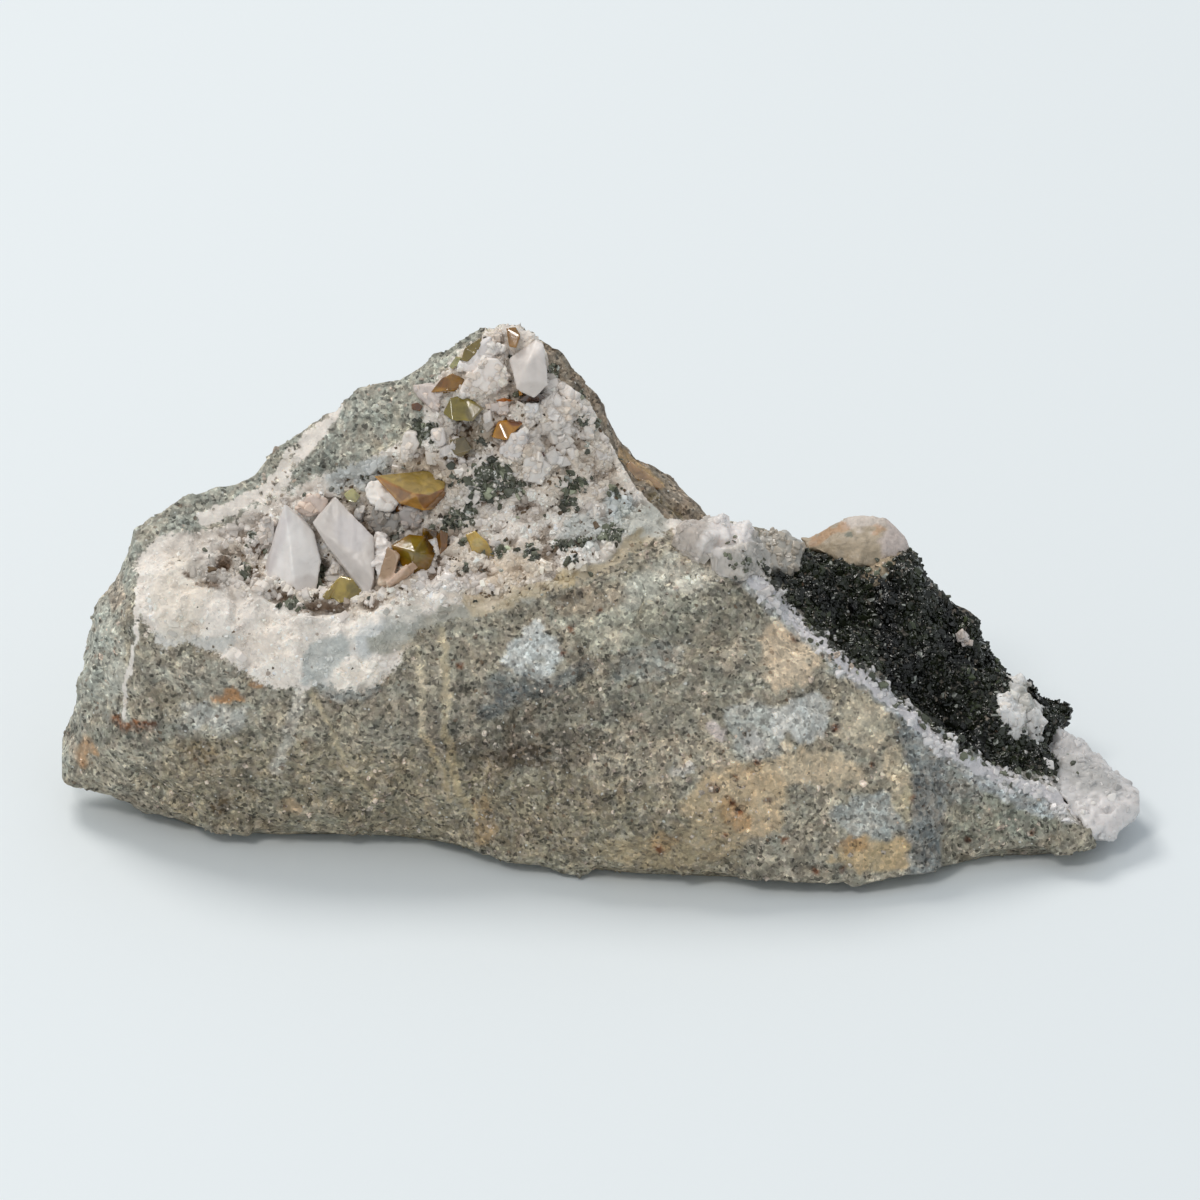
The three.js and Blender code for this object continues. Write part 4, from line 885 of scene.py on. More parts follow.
def titanite(name):
    """Clear titanite in its painted tint, with a few cloudy flaws and faint growth lines."""
    gem = new_material(name)
    place_on = add(gem, "TexCoord", {}, "Object")
    tint = add(gem, "Attribute", {}, attribute_name="tint")
    flaw = {"Scale": 1 / (1.4 * MM), "Detail": 4.0, "Roughness": 0.55, "Distortion": 0.8}
    flaws = add(gem, "TexNoise", {"Vector": place_on, **flaw})
    cloudy = add(gem, "ValToRGB", {"Fac": flaws}, stops=[(0.35, 0.94), (0.65, 1.0)])
    lines = add(gem, "TexNoise", {"Vector": place_on, "Scale": 1 / (0.6 * MM), "Detail": 2.0})
    clear = {"From Min": 0.38, "From Max": 0.66, "To Min": 0.55, "To Max": 0.25}
    return surfaced(
        gem,
        Base_Color=add(gem, "MixRGB", {"Fac": 1.0, "Color1": tint, "Color2": cloudy}, blend_type="MULTIPLY"),
        Transmission_Weight=add(gem, "MapRange", {"Value": flaws, **clear}),
        Normal=add(gem, "Bump", {"Height": lines, "Strength": 0.15, "Distance": 0.05 * MM}),
        Roughness=0.1,
        Subsurface_Weight=0.5,
        Subsurface_Radius=(1, 0.8, 0.4),
        Subsurface_Scale=0.8 * MM,
        IOR=1.9,
    )


# Adularia: feldspar grown free in the cleft from cool water. Its faces are satin with faint growth lines,
# and it is milky with tiny bubbles of that water, so light goes a little way in and edges look soft.
adularia = milky_mineral("milky adularia", 0.36, 0.7, 0.4, 1.7, 0.1, 0.14)
# The cleft's small crystals: the same feldspar, grown in a crust of oblique blocks.
druse_feldspar = milky_mineral("crusted feldspar", 0.3, 0.5, 0.35, 0.9, 0.14, 0.2)
# Pink adularia, coloured by iron dust that grew in with it.
pink_adularia = milky_mineral("salmon adularia", 0.34, 0.7, 0.4, 0.8, 0.16, 0.2)
# Feldspar bared as a smooth lobe and stained beige and rusty by water that ran over it.
stained = milky_mineral("stained feldspar", 0.5, 0.5, 0.25, 0.6, 0.3, 0.7)
# Milky quartz: broken with a greasy shine, white where healed cracks and bubbles crowd, greyer where clear.
quartz = milky_mineral("milky quartz", 0.32, 1.3, 0.55, 1.1, 0.2, 0.3)
# Titanite: grown in the same cleft, with a shine near diamond's. Iron makes it amber brown, or olive.
GEMS = {"amber": titanite("amber titanite"), "olive": titanite("olive titanite")}


def remeshed(name, node, voxel, turns, grow=0.0):
    """A copy of a CAD solid with even small faces, its edges softened by a number of turns. What lies on
    the skin or under it is pushed further in, so that no gap shows."""
    piece = copy_of(name, node, grow=grow)
    for vert in piece.data.vertices:
        at, normal, _, distance = skin_tree.find_nearest(vert.co)
        if distance < NEAR_SKIN * MM or (vert.co - at).dot(normal) < 0:
            vert.co -= normal * ROOT_DEPTH * MM
    even_faces(piece, voxel)
    mesh = piece.data
    move_points(mesh, neighbour_mean(mesh, points_of(mesh), turns))
    mesh.shade_smooth()
    return piece


def raise_relief(mesh, relief):
    move_points(mesh, points_of(mesh) + normals_of(mesh) * (relief(points_of(mesh) / MM) * MM)[:, None])


def keep(piece, material, slot, *nodes):
    """Gives a finished piece its material and ties it to the CAD."""
    piece.data.materials.clear()
    piece.data.materials.append(material)
    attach(piece, "root")
    if nodes:
        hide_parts(*nodes)


keep(stone, gneiss, "gneiss", "gneiss_matrix")

# The milky crystals that stand free: ground tint, then layers of tint.
MILKY = [
    (
        # Painted shade: the tent's first layer, a streak, darkens its narrow left face.
        "adularia_tent", "#efeae6", ("#d6cfcd", 0.8, 2.4, (-35.4, 32), (-36.6, 28), (-37.6, 25)),
        ("#c9bfb8", 0.5, (-32.6, 23.6, 2, 1.4)), ("#e6e1dd", 0.6, (-34.9, 32.4, 0.9, 1)),
    ),
    (
        "adularia_slab", "#d0c8c2", ("#cfc8c2", 0.7, 1.6, (-29.6, 33.4), (-31.4, 31)),
        ("#cfcaca", 0.6, (-27.4, 29.6, 2.4, 1.6, -40)), ("#cdc5be", 0.6, (-25, 27, 1.6, 2.4)),
    ),
    ("adularia_shield", "#efe8e1"), ("adularia_block", "#eee6e0"),
    (
        "adularia_peak", "#e0d8d2", ("#e8e2de", 0.8, (-6.4, 50, 0.5, 0.9, 20)),
        ("#c8c0b8", 0.5, (-7.4, 45.6, 2, 0.9)),
    ),
]
# These stand in a hollow and are seen further down, by a share of what lies below their middle.
DEEP_FEET = {"adularia_tent": 0.38, "adularia_slab": 0.04}
THEIR_MIDDLE = 27  # up the picture
THEIR_NEARNESS = 0.7  # they come this much toward the eye


def growth_lines(mm):
    """Shallow grooves that run up the crystal, over soft hollows."""
    stretched = as_seen(mm * MM) / np.array([0.55, 6, 0.8])
    return 0.05 * ripple(stretched, 1, 63) + 0.1 * ripple(mm, 1.9, 61) + 0.03 * ripple(mm, 0.5, 62)


def nicks(mm):
    """Broken corners."""
    return chips(mm, 1.5, 0.3, 64) + chips(mm, 0.8, 0.2, 65)


def salmon_relief(mm):
    """Facets under fine ribs that run along the prism."""
    stretched = as_seen(mm * MM) / np.array([0.4, 1.6, 0.6])
    return chips(mm, 1.2, 0.1, 66) + 0.05 * ripple(stretched, 1, 67)


for node, ground, *layers in MILKY:
    piece = remeshed("milky_" + node, node, 0.16, 2, 0.12)
    if node in DEEP_FEET:
        seen = as_seen(points_of(piece.data))
        seen[:, 1] += DEEP_FEET[node] * np.minimum(seen[:, 1] - THEIR_MIDDLE, 0)
        seen[:, 2] += THEIR_NEARNESS
        move_points(piece.data, from_seen(seen))
    raise_relief(piece.data, growth_lines)
    if node in ("adularia_shield", "adularia_block"):
        raise_relief(piece.data, nicks)
    paint_layers(piece.data, ground, layers)
    keep(piece, adularia, "adularia", node)

PINK = [
    ("#d9bda8", 0.9, 1.2, (-24, 23.6), (-20.8, 27.4)), ("#a0866c", 0.9, (-23.4, 26.6, 1.2, 2, -20)),
    ("#dcc9b4", 0.9, (-24.8, 23.6, 1.4, 1.2)),
]
pink = remeshed("salmon_adularia", "adularia_pink_prism", 0.11, 1)
raise_relief(pink.data, salmon_relief)
paint_layers(pink.data, "#b89a80", PINK, 0.16, 0.8)
keep(pink, pink_adularia, "adularia_pink", "adularia_pink_prism")

# Pieces that lie on their neighbours or stand out of the crust are moved toward the eye by this much.
NEARER = {"titanite_plate": 1.3, "quartz_clump": 0.9}

# The titanites: node, kind, how far each is grown, turns of softening, ground tint, then layers.
TITANITES = [
    (
        # Painted light and shade: the top facet is painted lighter, as lit, the lower facets a darker amber,
        # as shaded, and the small oval is a painted glint on them.
        "titanite_main", "amber", 0.08, 1, "#dda454",
        ("#c2a652", 0.95, (-24.8, 36), (-20.6, 36.8), (-17.9, 36.6), (-17, 35.6), (-17.2, 34.6),
         (-19, 33.9), (-20.8, 34.1)),
        ("#8f5518", 0.8, (-17, 34.8), (-19, 33.9), (-20.6, 34), (-19.6, 32.4), (-17.4, 32.6)),
        ("#dba95c", 0.6, (-20.9, 33.4, 0.7, 1, 30)),
        ("#a87028", 0.7, (-25, 36.2), (-20.8, 34.1), (-22, 33.2)),
    ),
    ("titanite_upper_amber", "amber", 0.08, 1, "#aa7a22", ("#6c3c10", 0.6, (-17.6, 46.4, 1, 0.6))),
    ("titanite_peak", "amber", 0.08, 1, "#a87c3c"),
    ("titanite_orange", "amber", 0.3, 6, "#e3a026", ("#7a3a18", 0.9, (-9.4, 42.2, 0.9, 0.7))),
    ("titanite_edge", "amber", 0.08, 1, "#c2a079"),
    (
        "titanite_olive", "olive", 0.3, 1, "#a0760e", ("#5c3a10", 0.9, (-18.2, 29, 1.3, 1.8)),
        ("#9a8c24", 0.6, (-20.6, 27.8, 1.4, 1.4)),
        ("#7d5818", 0.7, (-19.4, 30.4), (-19, 27.4), (-17, 26), (-16.4, 30.4)),
    ),
    (
        "titanite_seed", "olive", 0.08, 1, "#e2bd58", ("#b08a3a", 0.7, (-13, 26.9, 0.8, 0.9)),
        ("#dccb8c", 0.6, (-13.6, 28.6, 0.6, 0.5)),
    ),
    ("titanite_plate", "olive", 0.55, 1, "#bfa64e", ("#9a8a44", 0.7, (-27.4, 23.6, 0.8, 0.6))),
    ("titanite_upper_olive", "olive", 0.08, 1, "#a8963a", ("#a09068", 0.8, (-13.6, 43, 1.4, 1))),
    ("titanite_blade", "olive", 0.08, 1, "#94803a"), ("titanite_yellow", "olive", 0.08, 1, "#c9c38c"),
]
# Rounded masses: the lobe, the saddle's lumps, the white clump and the tip of the stone. Each has its
# voxel, turns of softening, growth, how deeply it is broken, ground tint, then layers.
MASSES = [
    (
        # Painted light and shade, over its own colours: the lobe is lighter along its top and darker and
        # browner along its lower edge.
        "feldspar_lobe", 0.22, 6, 0.3, 0.35, "#b7a892", ("#ddd2c8", 0.9, (29.6, 31.2, 2.6, 1.2)),
        ("#d9cbc4", 0.9, (33, 28.6, 1.6, 3)), ("#c08a56", 0.5, 0.9, (23.6, 28.8), (25.4, 30), (27.6, 30.4)),
        ("#c9935e", 0.45, (30.8, 30.2, 0.8, 0.4)), ("#a4947c", 0.8, (26, 27.6, 3, 1)),
        ("#6f7264", 0.9, (27.8, 29.2, 0.5, 0.4)), ("#b0a088", 0.6, (29.4, 27.4, 2.6, 1)),
    ),
    (
        "quartz_saddle", 0.24, 2, 0.25, 0.6, "#cfc8c0", ("#c9beb4", 0.9, (8.4, 29, 3.6, 4)),
        ("#f6efeb", 1.0, (15, 30.4, 2.9, 1.8)), ("#b3afa8", 0.9, (18.9, 28.6, 2.2, 2)),
        ("#d8d2ce", 0.8, (18.6, 30.2, 1.4, 0.7)), ("#e9e2dd", 0.8, (12.6, 28.4, 1.6, 1)),
        ("#a5a29a", 0.6, (16.4, 26.4, 1.6, 0.8)),
    ),
    (
        "quartz_clump", 0.22, 2, 0.6, 1.2, "#e9e6e2", ("#f6f4f1", 0.9, (45.6, 10.6, 1.4, 2)),
        ("#b0aea6", 0.8, (48, 11.4, 1.3, 1.6)), ("#8e8b80", 0.7, (45.4, 13, 0.8, 0.6)),
    ),
    (
        "quartz_tip", 0.28, 3, 0.3, 0.9, "#dcd8d6", ("#b9b7b4", 0.8, (55, 2.2, 4, 1.6, -30)),
        ("#ebe6e4", 0.8, (57, -1.6, 3.4, 2.4)), ("#a8a6a0", 0.6, (50.4, 3.4, 1.4, 1)),
    ),
]
for node, kind, grow, turns, ground, *layers in TITANITES:
    piece = remeshed("clear_" + node, node, 0.1, turns, grow)
    move_points(piece.data, points_of(piece.data) + TOWARDS * NEARER.get(node, 0) * MM)
    paint_layers(piece.data, ground, layers, 0.2, 1.2, 0.06)
    keep(piece, GEMS[kind], "titanite_" + kind, node)

for node, voxel, turns, grow, broken, ground, *layers in MASSES:
    piece = remeshed("rounded_" + node, node, voxel, turns, grow)
    move_points(piece.data, points_of(piece.data) + TOWARDS * NEARER.get(node, 0) * MM)
    raise_relief(
        piece.data,
        lambda mm: broken * (chips(mm, 2.2, 0.16, 71) + chips(mm, 1, 0.2, 72)) + 0.2 * ripple(mm, 2, 73)
        + 0.4 * chips(mm, 0.6, 0.3, 79),
    )
    paint_layers(piece.data, ground, layers, 0.12, 0.7, 0.6)
    if node == "feldspar_lobe":
        keep(piece, stained, "stained_feldspar", node)
    else:
        keep(piece, quartz, "quartz", node)

# Small crystals set one by one: tint, and corners as (across, up, height over the skin).
SMALL_ADULARIA = [
    (
        "#d3cdc8", (-38, 30.9, 0.6), (-37.3, 31.3, 1.6), (-36.2, 31, 1.6), (-36.2, 28.6, 1),
        (-37.6, 28.3, 0.5),
    ),
    (
        "#dccbc0", (-33.8, 32.3, 0.8), (-32.9, 33.7, 1.6), (-31.4, 33.9, 1.6), (-30.4, 33.3, 1.2),
        (-30.9, 32, 0.9), (-32.7, 31.3, 0.7),
    ),
    (
        "#ddd6d0", (-30.7, 24.3, 0.8), (-29.7, 26.7, 1.8), (-28.8, 26, 1.4), (-27.8, 24.4, 0.8),
        (-29.1, 24, 0.6),
    ),
    (
        "#a9a5a0", (-26, 31.1, 0.7), (-25.1, 32.6, 1.3), (-23.3, 32.2, 1.6), (-22, 31.1, 1.2),
        (-22.8, 29.8, 0.8), (-25.1, 29.8, 0.7),
    ),
    (
        "#b9b2ae", (-22.4, 31.9, 1), (-21.3, 32.8, 1.8), (-20, 32.2, 1.4), (-20, 30.3, 0.8),
        (-21.8, 30.3, 0.8),
    ),
    (
        "#eae7e4", (-27.2, 32.2, 1), (-26.7, 32.7, 1.6), (-26.2, 32.2, 1.4), (-26.7, 31.2, 0.9),
        (-27.2, 31.6, 0.8),
    ),
    ("#d9cfc6", (-11.8, 51.1, 0.8), (-11.6, 52.1, 1.3), (-10.8, 52, 1.2), (-10.8, 50.9, 0.8)),
    (
        "#e6e0dc", (-11.9, 50.4, 1.2), (-11.3, 50.9, 1.8), (-10.7, 50.3, 1.5), (-10.9, 49.7, 1),
        (-11.7, 49.8, 1),
    ),
    (
        "#ebe5e2", (-15.7, 48.4, 0.9), (-13.4, 50.9, 1.4), (-12.2, 51.1, 1.6), (-11.3, 49.7, 1.5),
        (-12.7, 48.7, 1), (-14.6, 47.4, 0.8), (-15.8, 48, 0.7),
    ),
    (
        "#f3e9e1", (-15.1, 46.4, 1), (-12.7, 49.1, 1.9), (-11.3, 49.1, 2), (-10, 47.4, 1.4),
        (-10.1, 46.2, 1), (-12.3, 45.3, 0.8), (-14.6, 44.7, 0.7), (-15.8, 45.2, 0.6),
    ),
    (
        "#d6cac3", (-20.8, 46, 0.7), (-19.4, 46.3, 1.3), (-17.3, 46.1, 1.8), (-18, 43.2, 1.4),
        (-19.1, 43.7, 1), (-20.3, 44.7, 0.7),
    ),
    (
        "#e0dad6", (-11.2, 38.9, 1), (-10, 40.7, 2), (-8.4, 41.1, 2.2), (-7.7, 40, 1.6), (-8.9, 38, 1),
        (-10.7, 38, 0.8),
    ),
    ("#dcd4ce", (-18.7, 41.1, 1.4), (-17.4, 41.3, 1.7), (-17.2, 39.3, 1.2), (-18.4, 39.1, 1)),
    (
        "#e0d8d0", (-22, 40.7, 0.8), (-20.4, 40.9, 1.2), (-20.1, 39.7, 1), (-20.7, 38.3, 0.7),
        (-22, 37.8, 0.6),
    ),
    (
        "#ddd2c6", (-8.6, 39, 1), (-7.3, 39.6, 1.5), (-6.3, 39.2, 1.3), (-6.6, 38.1, 0.9),
        (-7.3, 37.8, 0.7), (-8.4, 38.1, 0.7),
    ),
    (
        "#ddd4cb", (-5.7, 43.9, 0.8), (-3.4, 44.6, 1.4), (-2.3, 44.2, 1.2), (-2.3, 43.2, 0.9),
        (-3.6, 42.2, 0.8), (-5.1, 41.9, 0.6),
    ),
    ("#e3e0de", (-8.2, 44, 1), (-7, 44, 1.4), (-6.9, 43.3, 1.2), (-7.7, 42.4, 0.8), (-8.4, 43.1, 0.8)),
    ("#ddd6cf", (-1.7, 41.6, 0.8), (-0.6, 41.7, 1), (-0.7, 40.2, 0.8), (-1.7, 40, 0.6)),
    ("#e2dcd6", (-8.4, 37.8, 1), (-6.6, 38.3, 1.5), (-5.4, 37, 1.2), (-6.6, 35.2, 0.8), (-8.6, 35.4, 0.8)),
    ("#cfc3bb", (-12.6, 44, 0.8), (-10, 44.6, 1.2), (-10, 43.1, 1), (-12.3, 43, 0.6)),
    (
        "#b3afa7", (17.2, 28.4, 0.5), (18.2, 29.8, 1.2), (20.8, 29.8, 1.6), (22.8, 28.2, 1.4),
        (22.4, 25.8, 1), (20.2, 24.8, 0.9), (18, 25.8, 0.6),
    ),
    ("#d9cfca", (39.4, 18.6, 0.8), (40.6, 18.6, 1.2), (41.6, 17.2, 1), (40.4, 16.8, 0.8)),
    ("#e3dcd6", (-15.7, 45.2, 1), (-15, 45.4, 1.4), (-14.8, 44.7, 1), (-15.4, 44.6, 0.8)),
]
SMALL_TITANITE = [
    (
        "#c9c48e", (-16.8, 48.2, 0.8), (-16, 49.3, 1.3), (-15.4, 49.2, 1), (-15.8, 48.3, 0.8),
        (-16.4, 47.9, 0.6),
    ),
    ("#c87420", (-11.6, 44.4, 1), (-10.7, 44.7, 1.5), (-9.6, 44.4, 1.3), (-10.8, 44.1, 1)),
    ("#d99a4a", (-9.1, 45.8, 1.2), (-8.8, 46, 1.6), (-8.6, 45, 1.2), (-9, 44.9, 1)),
    ("#5c3a22", (-9.2, 44.4, 0.9), (-7.3, 45.6, 1.5), (-6, 44.7, 1.2), (-7.2, 44.2, 1)),
    (
        "#8a7a52", (-16.7, 40, 0.8), (-15.1, 40.4, 1.5), (-14.2, 39, 1.3), (-15.4, 38.1, 0.8),
        (-16.6, 38.3, 0.6),
    ),
    ("#96641c", (-18.2, 29.3, 1), (-17.7, 30, 2), (-16.9, 29.6, 1.7), (-17, 28, 1), (-17.8, 27.3, 0.8)),
    ("#8a5414", (-23, 32.8, 1), (-22.2, 33.2, 1.6), (-21.2, 32.9, 1.6), (-21.3, 32, 1), (-22.7, 32, 0.8)),
    ("#54261a", (-6.8, 38.3, 1), (-6.3, 38.7, 1.4), (-6.1, 38.2, 1.2), (-6.6, 37.9, 1)),
    ("#8a5a34", (-21, 44, 0.8), (-20.3, 44.2, 1.2), (-19.7, 43.8, 1), (-20, 43.2, 0.7), (-20.9, 43.4, 0.7)),
]


def set_in(name, rows, worn):
    """Small crystals with their corners over the skin and their feet in it."""
    solids = []
    for _, *corners in rows:
        seats = np.array([seat(across, up) for across, up, _ in corners])
        level = 0.5 * seats + 0.5 * np.median(seats)
        tops = [from_seen([across, up, at + rise]) for at, (across, up, rise) in zip(level, corners)]
        feet = [from_seen([across, up, at - FOOT_DEPTH]) for at, (across, up, _) in zip(level, corners)]
        solids.append(solid(tops + feet, worn * MM))
    return joined(name, solids, np.array([rgb(tint) for tint, *_ in rows]))


small = set_in("small_adularia", SMALL_ADULARIA, 0.12)
plain_tree = tree_of(small)
face_tints = tints_of(small.data)[[face.vertices[0] for face in small.data.polygons]]
even_faces(small, 0.15)
mesh = small.data
small_tint = face_tints[[plain_tree.find_nearest(vert.co)[2] for vert in mesh.vertices]]
raise_relief(
    mesh, lambda mm: chips(mm, 1.6, 0.22, 75) + 0.14 * ripple(mm, 1.1, 76) + 0.05 * ripple(mm, 0.5, 77)
)
mottle = 1 + 0.08 * ripple(points_of(mesh) / MM, 0.9, 78)
paint(mesh, "tint", np.clip(small_tint * mottle[:, None], 0, 1))
mesh.shade_smooth()
keep(small, adularia, "adularia")
keep(set_in("small_titanite", SMALL_TITANITE, 0.06), GEMS["amber"], "titanite_amber")

# The druse: a crust of small oblique blocks over the cleft's floor, thinner over the rest of the vein.
# Larger ones grow in clusters: tint, block size, count, then across, up, half width, half height, lean.
CLUSTERS = [
    ("#e6ded7", 1.5, 30, -4.4, 43.6, 3.4, 2.4, -30), ("#e4dbd2", 1.5, 18, -5.6, 40.2, 2.6, 1.8, -30),
    ("#f6eee8", 2, 16, -12.4, 47, 2.6, 1.6, 25), ("#e2d9d1", 1.4, 14, -2.6, 40.6, 2, 2, -40),
    ("#e4dbd3", 1.3, 22, -13.4, 41.6, 1.8, 1.4, 0), ("#e6dfd8", 1.5, 10, -6.2, 37.6, 2.4, 1.4, 0),
    ("#e2dad4", 1.4, 16, -16.4, 38.2, 2.2, 1.2, 20), ("#e0d6ce", 1.2, 26, -14, 24.4, 3.4, 1.4, 10),
    ("#e6ded8", 1.5, 14, -18.4, 24.6, 2, 1.2, 0), ("#ddd4cc", 1.3, 14, -40.4, 29.4, 2.4, 1.2, 30),
    ("#e4dad0", 1.6, 12, -37.4, 23.4, 1.6, 1.4, 0), ("#d8cec6", 1.3, 12, -33, 31.4, 1.6, 1, 0),
    ("#dcc9b0", 1.1, 12, -24.4, 25, 1.4, 1.4, 0), ("#e6e2de", 1.3, 20, 47.8, 6.4, 2.6, 1.2, -35),
    ("#e2dedb", 1.1, 26, 51, 2.4, 2.6, 1.6, -35), ("#dcd6d2", 1.2, 24, 17, 24.6, 3.2, 1.2, -50),
    ("#d8d0ca", 1.2, 14, 14.6, 27.4, 2, 1.4, -30),
]
places, sizes, tones = [], [], []


def sow(found, low, high, ground=None, scale=1.0, power=1.0):
    """Notes places for crystals, their sizes by chance and their tints, in one ground or as found there."""
    at, up, *tone = found
    places.append((at, up))
    sizes.append(scale * dice.uniform(low, high, len(at)) ** power)
    tones.append(tone[0] if tone else np.tile(rgb(ground), (len(at), 1)))


mm, seen = survey(skin)
front = facing(skin, 0.0, 0.3)
cleft_share = front * smoothstep(inside_by(CLEFT, seen), -0.5, 1.5)
vein_share = front * smoothstep(inside_by(VEIN, seen), 0.2, 1)
open_face = 1 - smoothstep(inside_by(SIDE_FACE, seen), -0.8, 0)
patches = smoothstep(ripple(mm, 3.2, 81), -0.35, 0.35)
crusted = (cleft_share * (0.1 + patches) + 0.11 * vein_share) * open_face
sow(scattered(skin, crusted, DRUSE_BLOCKS), 0.08, 1, "#e4dbd3", 0.42, -0.5)
band_share = front * streak(seen, 2.4, *BAND) * smoothstep(ripple(mm, 2, 83), -0.5, 0.3)
sow(scattered(skin, band_share, 240), 0.3, 1, "#dedbda")
for ground, wide, count, *where in CLUSTERS:
    sow(scattered(skin, front * oval(seen, *where, edge=0.2) + 1e-9, count), 0.6, 1.15, ground, wide)
at, up, tone = scattered(small.data, facing(small.data, 0.1, 0.5), 300, small_tint)
sow((at, up, tone * [1.12, 1.06, 1.0]), 0.4, 1.1)
on_skin = sum(len(tone) for tone in tones)
for name, count in [("saddle", 90), ("clump", 90), ("tip", 130)]:
    mesh = bpy.data.objects["rounded_quartz_" + name].data
    sow(scattered(mesh, facing(mesh, -0.2, 0.3), count, tints_of(mesh)), 0.5, 1.5)
at, up = (np.concatenate(rows) for rows in zip(*places))
size, tone = np.concatenate(sizes), np.concatenate(tones)
on_quartz = np.arange(len(at)) >= on_skin
has_room = clear_of_crystals(at, size * 0.6 + 0.2) | on_quartz
at, up, size, tone, on_quartz = (rows[has_room] for rows in (at, up, size, tone, on_quartz))
tone = tinted(tone, as_seen(at), FELDSPAR_TINTS) * dice.uniform(0.85, 1.12, len(at))[:, None]
sunk = 0.16 + 0.26 * on_quartz
tone = np.clip(tone, 0, [0.9, 0.84, 0.78])
druse = strewn("feldspar_druse", blocks, at, up, size, 0.75, 1.15, sunk, 0.9, tone)
keep(druse, druse_feldspar, "feldspar", "feldspar_crust")

# Grains too small to be told apart, over the whole vein, with dirt that washed in between them.
grains = [solid(jittered(0.16, BLOCK if i % 3 else ROOF)) for i in range(12)]
share = vein_share * open_face * (0.35 + cleft_share)
at, up, tone, open_here = scattered(skin, share, GRAINS, tints_of(skin, "vein"), cleft_share)
size = (0.22 + 0.12 * open_here) * dice.uniform(0.1, 1, len(at)) ** -0.45
tone = tone * dice.uniform(0.95, 1.35, len(at))[:, None]
dirty = dice.uniform(size=len(at)) < 0.04 + 0.12 * open_here * smoothstep(ripple(at / MM, 3.5, 88), -0.4, 0.5)
tone[dirty] = rgb("#5b4a36") * dice.uniform(0.5, 1.6, (dirty.sum(), 1))
size[dirty] *= 0.8
dust = strewn("vein_grains", grains, at, up, size, 0.7, 1.2, 0.22, 1.4, np.clip(tone, 0, 1))
keep(dust, druse_feldspar, "feldspar")

# Crumbs of the rock, still fast in its broken face.
rock_share = front * (1 - vein_share) * (1 - smoothstep(inside_by(CHLORITE, seen), -1, 0)) * open_face
crumbly = smoothstep(ripple(mm, 6, 82), -0.2, 0.6) + 2.5 * oval(seen, 2.2, 4.4, 7, 4.4)
at, up, tone = scattered(skin, rock_share * (0.12 + crumbly), CRUMBS, tints_of(skin))
size = 0.3 * dice.uniform(0.1, 1, len(at)) ** -0.45
tone = tone * dice.uniform(0.7, 1.35, len(at))[:, None]
pale = dice.uniform(size=len(at)) < 0.18
tone[pale] = rgb("#d2c4b6") * dice.uniform(0.7, 1.3, (pale.sum(), 1))
crumbs = strewn("rock_crumbs", blocks, at, up, size, 0.7, 1.2, 0.2, 1.2, np.clip(tone, 0, 1))
paint(crumbs.data, "feldspar", np.full(len(crumbs.data.vertices), -2.0))
keep(crumbs, gneiss, "gneiss")

# Chlorite flakes: across, up, half width, half height, lean of each patch on the white vein.
CHLORITE_SPOTS = [
    (-11.9, 35.3, 2.4, 2.0, 20), (-15.4, 31.4, 2.1, 1, 40), (-16, 35, 0.6, 0.3, 20),
    (-16.3, 36.1, 0.3, 0.3), (-15.3, 28.8, 0.25, 0.4), (-10.7, 28.6, 0.7, 0.4), (-11.3, 27.8, 0.6, 0.4),
    (-7.6, 27.5, 0.55, 0.9), (-5.6, 28.3, 0.5, 0.3), (-2.8, 27, 0.5, 0.7), (-2.8, 35.2, 1.4, 1),
    (-3.6, 33, 0.8, 0.6, 40), (1.9, 34.4, 0.9, 0.4, 30), (-15.1, 25.5, 0.5, 0.4), (-13.4, 25.2, 0.4, 0.4),
    (-17.4, 23.7, 0.4, 0.3), (-5.4, 47.7, 0.7, 0.6), (-8.9, 45.2, 0.8, 0.5, -20), (-2.2, 44.9, 0.45, 0.35),
    (-0.9, 41.8, 0.8, 0.6), (-19.3, 41.1, 1.3, 1), (-25.9, 27.4, 0.35, 0.6), (-21.6, 31.8, 0.5, 0.4),
    (1.2, 29.6, 1.2, 0.8, 20), (-8.6, 34.4, 0.9, 0.5, 10), (-13.4, 40.4, 0.9, 0.5, 50),
    (-31.4, 24.6, 0.5, 1.2), (-34.4, 21.8, 1, 0.5), (-24.2, 30, 0.8, 0.4, -40), (-38.8, 29.4, 0.5, 0.5),
    (-39.4, 25.4, 0.5, 0.8), (-22.9, 29.6, 1.2, 0.4),
]
CHLORITE_LINE = [
    (-5, 27.9), (-2.6, 28.6), (-0.6, 29), (1.3, 30),
]
mm, seen = survey(skin)
seen = shifted(seen, 0.45 * drift(mm, 1.2, 84))
front = facing(skin, -0.1, 0.15)
spots = streak(seen, 0.7, *CHLORITE_LINE)
for where in CHLORITE_SPOTS:
    spots = np.maximum(spots, oval(seen, *where, edge=0.5))
main_share = front * smoothstep(inside_by(CHLORITE, seen), -0.7, 0.5)
edge_share = front * smoothstep(inside_by(CHLORITE, seen), -2.4, -0.2) * 0.12
dust_share = front * smoothstep(inside_by(CLEFT, seen), -1, 1) * 0.008
places = [scattered(skin, main_share + 1.35 * front * spots + edge_share + dust_share, FLAKES)]
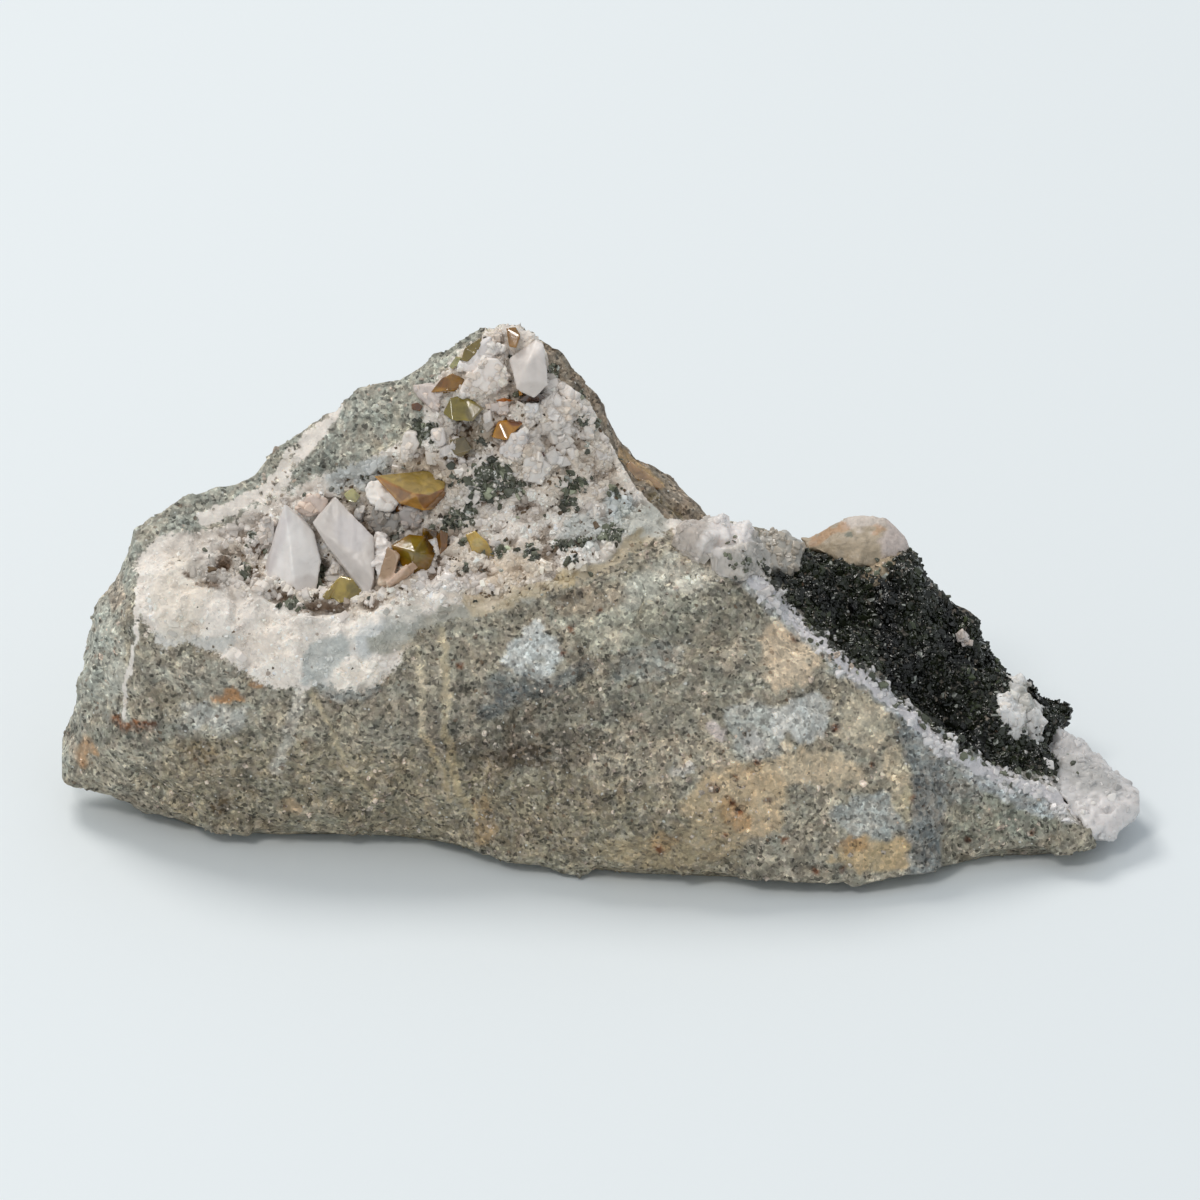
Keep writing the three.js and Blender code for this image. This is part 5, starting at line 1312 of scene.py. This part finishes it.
for name, count, *where in [
    ("saddle", 90, 17, 26.4, 3.4, 2.4, -40), ("clump", 26, 48.2, 6.2, 1.8, 1.6), ("tip", 60, 51, 3, 2.4, 2)
]:
    mesh = bpy.data.objects["rounded_quartz_" + name].data
    mm, seen = survey(mesh)
    patches = smoothstep(ripple(mm, 2, 87), -0.3, 0.4) * oval(seen, *where)
    places.append(scattered(mesh, facing(mesh, 0, 0.3) * patches + 1e-9, count))
at, up = (np.concatenate(rows) for rows in zip(*places))
size = 0.4 * dice.uniform(0.07, 1, len(at)) ** -0.42
has_room = clear_of_crystals(at, size * 0.3)
at, up, size = at[has_room], up[has_room], size[has_room]
in_crust = smoothstep(inside_by(CHLORITE, as_seen(at)), -1.5, 0.5)
size *= 1.2 - 0.2 * in_crust
# Painted light and shade: by noise about as wide as the crust's lumps, some patches of flakes are lighter, as
# lit crowns, and others far darker, as shaded gaps.
painted_crown_light = smoothstep(ripple(at / MM, 3.2, 86) + 0.6 * ripple(at / MM, 1.4, 89), -0.9, 0.7)
tone = rgb("#1e2216") * (0.12 + 1.1 * painted_crown_light)[:, None]
# Flakes off the crust are lighter grey-green, partly their own colour and partly a painted silvery sheen.
tone += (1 - in_crust)[:, None] * np.array([0.09, 0.094, 0.07])
tone *= np.exp(dice.normal(0, 0.55, (len(at), 1)))
# Painted glints: a few flakes, more of them off the crust, are painted pale grey and made smaller, as
# sparkles of light.
pale = dice.uniform(size=len(at)) < 0.05 + 0.1 * (1 - in_crust)
tone[pale] = rgb("#a3a69e") * dice.uniform(0.4, 1.2, (pale.sum(), 1))
size[pale] *= 0.75
lean = (2.4 - 0.6 * in_crust)[:, None]
thin, thick = [0.8, 0.7, 0.5], [1.1, 1.0, 1.6]
crust = strewn("chlorite_flakes", flakes, at, up, size, thin, thick, -0.1, lean, np.clip(tone, 0.001, 1))

# Chlorite: mica-like flakes that settled out of the same hot water, a black-green crust. Each flake is
# smooth, so the crust is near black with a sharp glint wherever a flake faces the light.
chlorite = new_material("chlorite flakes")
place_on = add(chlorite, "TexCoord", {}, "Object")
plates = add(chlorite, "TexVoronoi", {"Vector": place_on, "Scale": 1 / (0.22 * MM)}, "Distance")
surfaced(
    chlorite,
    Base_Color=add(chlorite, "Attribute", {}, attribute_name="tint"),
    Normal=add(chlorite, "Bump", {"Height": plates, "Strength": 0.5, "Distance": 0.1 * MM}),
    Roughness=0.12,
    Specular_IOR_Level=0.6,
)
keep(crust, chlorite, "chlorite", "chlorite_crust")
